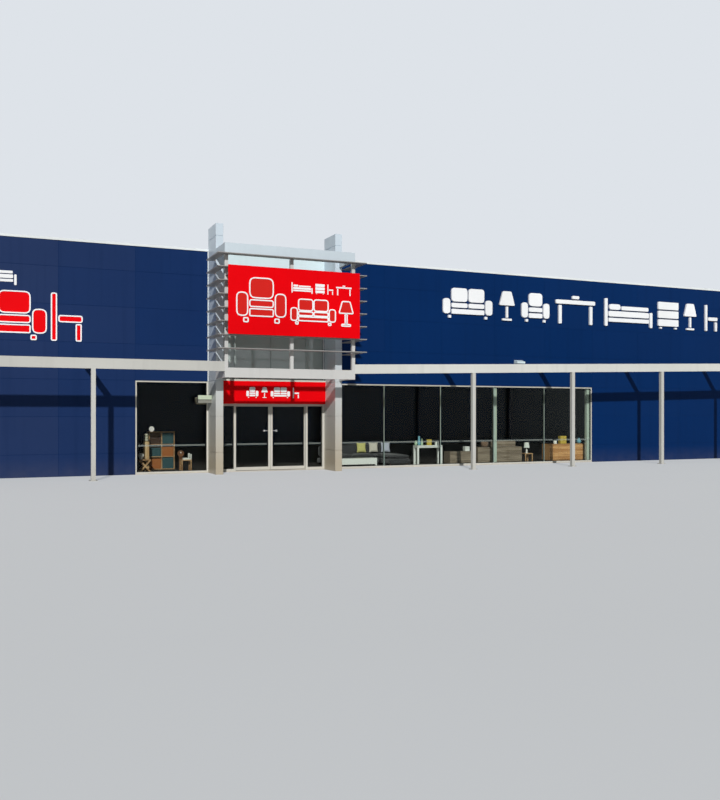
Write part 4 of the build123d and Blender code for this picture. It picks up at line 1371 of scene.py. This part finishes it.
def stuffed(pieces, cell, swell):
    """Fills sewn covers. Each is meshed evenly, blown up as cloth by inner pressure without weight,
    and no point moves further than the swell. Gives each cover's points before and after."""
    for piece in pieces:
        piece.modifiers.remove(piece.modifiers["rounding"])
        even = piece.modifiers.new("even_mesh", "REMESH")
        even.mode = "VOXEL"
        even.voxel_size = cell
    sewn = [as_made(piece) for piece in pieces]
    for piece, mesh in zip(pieces, sewn):
        piece.modifiers.clear()
        piece.data = mesh
        filling = piece.modifiers.new("filling", "CLOTH")
        filling.settings.use_pressure = True
        filling.settings.uniform_pressure_force = filling_pressure
        filling.settings.effector_weights.gravity = 0
        filling.point_cache.frame_end = filling_steps
    for step in range(1, filling_steps + 1):
        bpy.context.scene.frame_set(step)
    filled = [as_made(piece) for piece in pieces]
    bpy.context.scene.frame_set(1)
    results = []
    for piece, mesh in zip(pieces, filled):
        piece.modifiers.clear()
        before = points_of(piece.data)
        move = points_of(mesh) - before
        length = np.linalg.norm(move, axis=1, keepdims=True)
        after = before + move * np.minimum(1, swell / np.maximum(length, 1e-9))
        piece.data.vertices.foreach_set("co", after.ravel())
        piece.data.shade_smooth()
        rounding = piece.modifiers.new("rounding", "SUBSURF")
        rounding.levels = 1
        rounding.render_levels = 1
        results.append((before, after))
    return results


def piping(path, covers, upright):
    """A round cord sewn into a seam. The seam moves with the nearest point of its cover, evened out
    over three points, and a ring of points is carried along it."""
    before, after = covers
    path = even_path(path, seam_pitch)
    nearest = np.linalg.norm(path[:, None] - before[None], axis=2).argmin(axis=1)
    move = (after - before)[nearest]
    path = path + (np.roll(move, 1, axis=0) + move + np.roll(move, -1, axis=0)) / 3
    along = np.roll(path, -1, axis=0) - np.roll(path, 1, axis=0)
    outward = np.cross(along, upright)
    outward /= np.linalg.norm(outward, axis=1, keepdims=True)
    turn = np.linspace(0, 2 * np.pi, cord_sides, endpoint=False)[None, :, None]
    section = np.cos(turn) * outward[:, None] + np.sin(turn) * np.array(upright)
    ring = path[:, None] + piping_radius * section
    return ring.reshape(-1, 3), grid_quads(len(path), cord_sides, True, True)


charcoal_cloth = woven("charcoal_cloth", charcoal, 0.0035, 0.25)
frame_bottom = floor_level + foot_height
sofa_frame = [
    blocks((sofa_low.x + frame_inset, seat_front_y + frame_inset, frame_bottom),
           (sofa_high.x - frame_inset, sofa_high.y - frame_inset, seat_bottom)),
    blocks((chaise_start + frame_inset, sofa_low.y + frame_inset, frame_bottom),
           (sofa_high.x - frame_inset, seat_front_y + chaise_overlap, seat_bottom)),
]
sofa_piece = new_piece("sofa_frame_cover", sofa_frame, charcoal_cloth, edge=0.02)
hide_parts("sofa")
left_feet_x, right_feet_x = sofa_low.x + foot_inset, sofa_high.x - foot_inset
front_feet_y, back_feet_y = sofa_low.y + foot_inset, sofa_high.y - foot_inset
foot_places = [(left_feet_x, seat_front_y + foot_inset), (left_feet_x, back_feet_y),
               (right_feet_x, front_feet_y), (right_feet_x, back_feet_y),
               (chaise_start + foot_inset, front_feet_y)]
feet = [rod((x, y, floor_level), foot_height, foot_radius, 2) for x, y in foot_places]
new_piece("sofa_feet", feet, walnut, weld=True)
pads = [
    ("sofa_seat_left", (seat_start + frame_gap, seat_front_y, seat_bottom),
     (seat_middle - seat_gap, back_front_y, seat_level), seat_crown),
    ("sofa_seat_middle", (seat_middle + seat_gap, seat_front_y, seat_bottom),
     (chaise_start - seat_gap, back_front_y, seat_level), seat_crown),
    ("sofa_chaise_pad", (chaise_start + seat_gap, sofa_low.y, seat_bottom),
     (sofa_high.x, back_front_y, seat_level), seat_crown),
    ("sofa_arm_pad", (sofa_low.x, seat_front_y, seat_bottom),
     (seat_start, back_front_y, arm_level), frame_crown),
    ("sofa_back_pad", (sofa_low.x, back_front_y + frame_gap, seat_bottom),
     (sofa_high.x, sofa_high.y, sofa_high.z), frame_crown),
]
soft_pads = [new_piece(name, [pad(low, high, crown)], charcoal_cloth, weld=True, smooth=1)
             for name, low, high, crown in pads]
covers = stuffed(soft_pads, pad_cell, pad_swell)
around_pad = np.linspace(0, 2 * np.pi, 96, endpoint=False)
around_pad = around_pad - np.sin(4 * around_pad) / 4
seams = []
for soft, (name, low, high, crown), cover in zip(soft_pads, pads, covers):
    for tilt in (-seam_tilt, seam_tilt):
        seams.append(piping(pad_points(low, high, crown, tilt, around_pad), cover, (0, 0, 1)))
new_piece("sofa_piping", seams, woven("piping_cloth", piping_dark, 0.002), smooth=1)

# Scatter cushions: pale cloth covers filled with fibre, knife-edged, leaning on the sofa's back.
# They are filled like the seats, and a cord of their own cloth is sewn into the edge.
cushion_colours = ((198, 192, 120), (204, 198, 184), (182, 186, 198))
cushion_size = 0.37
cushion_thickness = 0.085
cushion_cell = 0.008
cushion_swell = 0.010
cushion_lean = math.radians(8)
cushion_shares = (0.50, 0.67, 0.84)
cushion_lead = 0.20
cushion_setback = 0.04
cushion_lift = 0.012
edge_draw = 0.10


def cushion_points(foot, s, t, face):
    """Points of a knife-edged cushion over s and t from -1 to 1. The half thickness is
    (1 - s^4)^0.5 (1 - t^4)^0.5, and each edge is drawn in between its corners, by the draw
    times (1 - t^2). The cushion stands on its foot and leans back."""
    across = cushion_size / 2 * s * (1 - edge_draw * (1 - t ** 2) * np.abs(s))
    up = cushion_size / 2 * (t * (1 - edge_draw * (1 - s ** 2) * np.abs(t)) + 1)
    depth = face * cushion_thickness / 2 * np.sqrt(np.clip((1 - s ** 4) * (1 - t ** 4), 0, 1))
    y = depth * math.cos(cushion_lean) + up * math.sin(cushion_lean)
    z = up * math.cos(cushion_lean) - depth * math.sin(cushion_lean)
    return np.stack([foot[0] + across, foot[1] + y, foot[2] + z], axis=-1)


def knife_cushion(foot, grid=25):
    """Two crowned faces that meet in a seam."""
    s, t = np.meshgrid(np.linspace(-1, 1, grid), np.linspace(-1, 1, grid))
    return [(cushion_points(foot, s, t, face).reshape(-1, 3), grid_quads(grid, grid, False, False))
            for face in (-1, 1)]


cushion_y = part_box("sofa_cushions")[0].y + cushion_setback
cushion_z = seat_level + cushion_lift
cushion_feet = [(sofa_low.x + share * (sofa_high.x - sofa_low.x) + cushion_lead, cushion_y, cushion_z)
                for share in cushion_shares]
cushion_cloths = [woven(f"cushion_cloth_{number + 1}", colour, 0.003)
                  for number, colour in enumerate(cushion_colours)]
scatter = []
for number, (foot, cloth) in enumerate(zip(cushion_feet, cushion_cloths)):
    scatter.append(new_piece(f"scatter_cushion_{number + 1}", knife_cushion(foot), cloth,
                             weld=True, smooth=1))
covers = stuffed(scatter, cushion_cell, cushion_swell)
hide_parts("sofa_cushions")
side = np.linspace(-1, 1, 24, endpoint=False)
flat_side = np.ones_like(side)
edge_s = np.concatenate([side, flat_side, -side, -flat_side])
edge_t = np.concatenate([-flat_side, side, flat_side, -side])
face_on = (0, math.cos(cushion_lean), -math.sin(cushion_lean))
for number, (cushion, foot, cover) in enumerate(zip(scatter, cushion_feet, covers)):
    seam = piping(cushion_points(foot, edge_s, edge_t, 0), cover, face_on)
    new_piece(f"cushion_cord_{number + 1}", [seam], cushion_cloths[number], smooth=1)

# Grey-brown chests and the oak sideboard: veneered boards with shadow gaps round each front.
# Fronts are separate boards, 4 mm apart, laid on the carcass, with chamfered edges.
grey_pale = (150, 136, 118)
grey_dark = (112, 99, 84)
sideboard_pale = (218, 168, 112)
sideboard_dark = (180, 128, 78)
front_skin = 0.012
front_gap = 0.004
chest_setback = 0.50
chest_kick = 0.05
low_chest_span = (0.0, 0.90)
low_chest_top = 0.43
long_chest_span = (1.16, 3.06)
long_chest_top = 0.57
sideboard_kick = 0.07
sideboard_rim = 0.02
grey_wood = timber("grey_oak", grey_pale, grey_dark, 0.55)
sideboard_oak = timber("sideboard_oak", sideboard_pale, sideboard_dark, 0.45)
finish_nodes(grey_wood, "grey_chests")
finish_nodes(sideboard_oak, "oak_sideboard")


def fronts(x_low, x_high, z_low, z_high, face_y, columns, rows):
    """A grid of drawer or door fronts laid on a face, with a gap all round each."""
    x_edges = np.linspace(x_low, x_high, columns + 1)
    z_edges = np.linspace(z_low, z_high, rows + 1)
    left, right, bottom, top = cells(x_edges, z_edges, front_gap)
    return blocks(rows_of(left, face_y - front_skin, bottom), rows_of(right, face_y, top))


chest_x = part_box("grey_chests")[0].x
chest_y = front_y + chest_setback
low_chest_x = [chest_x + place for place in low_chest_span]
long_chest_x = [chest_x + place for place in long_chest_span]
chest_bottom = floor_level + chest_kick
low_fronts = fronts(*low_chest_x, chest_bottom, floor_level + low_chest_top, chest_y, 2, 2)
long_fronts = fronts(*long_chest_x, chest_bottom, floor_level + long_chest_top, chest_y, 3, 2)
new_piece("grey_chest_fronts", [low_fronts, long_fronts], grey_wood, edge=0.003)
oak_low, oak_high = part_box("oak_sideboard")
oak_fronts = fronts(oak_low.x, oak_high.x, oak_low.z + sideboard_kick, oak_high.z - sideboard_rim,
                    oak_low.y, 4, 1)
new_piece("sideboard_fronts", [oak_fronts], sideboard_oak, edge=0.003)

# Table lamp on the stool: a turned white foot under a pleated drum shade of pale linen.
# The linen is stretched over a wire drum in even folds, and the foot is glazed like the vases.
linen_pale = (224, 228, 220)
pleats = 36
pleat_depth = 0.02
shade_skin = 0.002
shade_taper = 0.8
shade_start = 0.5
foot_profile = [(0, 0), (0.066, 0), (0.066, 0.012), (0.03, 0.03), (0.042, 0.09), (0.03, 0.15), (0.011, 0.18),
                (0.011, 0.30), (0, 0.30)]
lamp_low, lamp_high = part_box("table_lamp")
lamp_place = ((lamp_low.x + lamp_high.x) / 2, (lamp_low.y + lamp_high.y) / 2, lamp_low.z)
lamp_tall = lamp_high.z - lamp_low.z
shade_radius = (lamp_high.x - lamp_low.x) / 2 - shade_skin


def pleated_shade(place, bottom, top, low_radius, high_radius):
    """A drum whose radius narrows evenly upwards and ripples by the depth of a pleat, once for each
    pleat; the inner face follows it a skin inside."""
    turn = np.linspace(0, 2 * np.pi, pleats * 4, endpoint=False)[None]
    share = np.array([0, 0.5, 1.0, 1.0, 0.5, 0])[:, None]
    skin = shade_skin * np.array([0, 0, 0, 1, 1, 1])[:, None]
    ripple = 1 + pleat_depth * np.cos(pleats * turn) - pleat_depth
    radius = (low_radius + (high_radius - low_radius) * share) * ripple - skin
    points = np.stack([place[0] + radius * np.cos(turn), place[1] + radius * np.sin(turn),
                       place[2] + (bottom + (top - bottom) * share) * np.ones_like(turn)], axis=2)
    return points.reshape(-1, 3), grid_quads(len(share), pleats * 4, True, True)


foot = turned(lamp_place, foot_profile)
lamp_foot = new_piece("lamp_foot", [foot], white_glaze, weld=True)
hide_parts("table_lamp")
drum = pleated_shade(lamp_place, lamp_tall * shade_start, lamp_tall, shade_radius, shade_radius * shade_taper)
new_piece("lamp_shade", [drum], woven("shade_linen", linen_pale, 0.0025), weld=True)

# Ornaments in the right window: vases and small boxes on the console, the chests and the sideboard.
# The vases are thrown and glazed, the boxes are lacquered board, and the basket is woven cane.
green_pale = (176, 200, 168)
green_dark = (150, 176, 150)
blue_pale = (112, 168, 186)
blue_dark = (84, 140, 164)
gold = (188, 164, 70)
cane_brown = (128, 104, 84)
console_low, console_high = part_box("console_table")
console_place = (console_low.x, (console_low.y + console_high.y) / 2, console_high.z)
sideboard_place = (oak_low.x, oak_low.y, oak_high.z)
wide_vase = vessel(beside(console_place, 0.07, 0.09), 0.17, 0.03, 0.052, 0.06, 0.052, 0.035, 0.03)
bottle = vessel(beside(console_place, 0.24, -0.05), 0.24, 0.04, 0.045, 0.042, 0.02, 0.016, 0.02)
green_glaze = glazed("green_glaze", green_pale, green_dark)
pottery("green_vases", [wide_vase, bottle], green_glaze)
tall_vase = vessel(beside(console_place, 0.14, -0.02), 0.33, 0.045, 0.06, 0.06, 0.05, 0.036, 0.034, 0.042)
teal_place = (oak_high.x - 0.15, oak_low.y + 0.22, oak_high.z)
teal_vase = vessel(teal_place, 0.22, 0.05, 0.09, 0.105, 0.08, 0.035, 0.04)
blue_glaze = glazed("blue_glaze", blue_pale, blue_dark)
pottery("blue_vases", [tall_vase, teal_vase], blue_glaze)
gold_parts = [
    box_at(console_place, (0.46, -0.03, 0), (0.65, 0.03, 0.21)),
    box_at(sideboard_place, (0.62, 0.12, 0), (0.90, 0.28, 0.30)),
]
new_piece("gold_boxes", gold_parts, lacquer("gold_lacquer", gold), edge=0.01)
small_white = [
    box_at(console_place, (0.80, -0.05, 0), (0.92, 0.05, 0.12)),
    box_at((low_chest_x[1], chest_y, floor_level), (-0.21, 0.10, 0.45), (-0.02, 0.28, 0.62)),
    box_at(sideboard_place, (0.33, 0.12, 0), (0.45, 0.20, 0.13)),
]
new_piece("small_white_boxes", small_white, white_lacquer, edge=0.01)
basket_place = (long_chest_x[0] + 0.42, chest_y + 0.22, floor_level + 0.59)
basket = vessel(basket_place, 0.20, 0.11, 0.14, 0.15, 0.145)
basket_weave = woven("basket_weave", cane_brown, 0.012)
new_piece("round_basket", [basket], basket_weave, weld=True, smooth=1)

# Studio: a wide pale floor that fades into a pale surround, a low key light from the left front and
# an even fill from all sides.
floor_reach = 260
key_direction = (0.36, 1.0, -0.51)
key_strength = 2.9
key_softness = math.radians(1.2)
key_colour = (1.0, 0.985, 0.965)
fill_strength = 0.22
fill_colour = (0.88, 0.95, 1.0, 1.0)
floor_pale = (200, 199, 196)
floor_paler = (205, 204, 201)
floor_glow = 0.45
fade_range = (30, 90)
backdrop = (222, 227, 233)


def seen_directly(tree):
    """1 for what the camera, a mirror or a pane shows, and 0 for what lights the store."""
    path = tree.nodes.new("ShaderNodeLightPath")
    total = path.outputs["Is Camera Ray"]
    for name in ("Is Glossy Ray", "Is Transmission Ray"):
        node = tree.nodes.new("ShaderNodeMath")
        node.operation = "MAXIMUM"
        tree.links.new(total, node.inputs[0])
        tree.links.new(path.outputs[name], node.inputs[1])
        total = node.outputs["Value"]
    return total


def studio_floor():
    """Pale matt floor with a little glow; far from the middle it fades to the surround."""
    material, tree, shader = new_finish("studio_floor", 0.9, shine=0.1)
    tone = mixed(tree, cloud(tree, 0.2), shade(floor_pale), shade(floor_paler))
    paint(tree, shader, tone)
    distance = tree.nodes.new("ShaderNodeVectorMath")
    distance.operation = "LENGTH"
    tree.links.new(place_on(tree), distance.inputs[0])
    far = spread(tree, distance.outputs["Value"], *fade_range, floor_glow, 1.0)
    glow = tree.nodes.new("ShaderNodeEmission")
    glow.inputs["Color"].default_value = shade(backdrop)
    blended(tree, product(tree, far, seen_directly(tree)), shader.outputs["BSDF"], glow.outputs["Emission"])
    return material


floor_mesh = bpy.data.meshes.new("studio_floor")
floor_corners = [(-floor_reach, -floor_reach, 0), (floor_reach, -floor_reach, 0),
                 (floor_reach, floor_reach, 0), (-floor_reach, floor_reach, 0)]
floor_mesh.from_pydata(floor_corners, [], [(0, 1, 2, 3)])
floor_mesh.materials.append(studio_floor())
studio = bpy.data.objects.new("studio_floor", floor_mesh)
bpy.context.scene.collection.objects.link(studio)
key_data = bpy.data.lights.new("key_light", "SUN")
key_data.energy = key_strength
key_data.angle = key_softness
key_data.color = key_colour
key_light = bpy.data.objects.new("key_light", key_data)
bpy.context.scene.collection.objects.link(key_light)
sideways = math.atan2(key_direction[0], key_direction[1])
drop = math.atan2(-key_direction[2], math.hypot(key_direction[0], key_direction[1]))
key_light.rotation_euler = (math.pi / 2 - drop, 0, -sideways)
surround = bpy.data.worlds.new("studio_surround")
bpy.context.scene.world = surround
surround.use_nodes = True
sky_tree = surround.node_tree
fill = sky_tree.nodes["Background"]
fill.inputs["Color"].default_value = fill_colour
fill.inputs["Strength"].default_value = fill_strength
plain = sky_tree.nodes.new("ShaderNodeBackground")
plain.inputs["Color"].default_value = shade(backdrop)
blended(sky_tree, seen_directly(sky_tree), fill.outputs["Background"], plain.outputs["Background"],
        output="World Output")
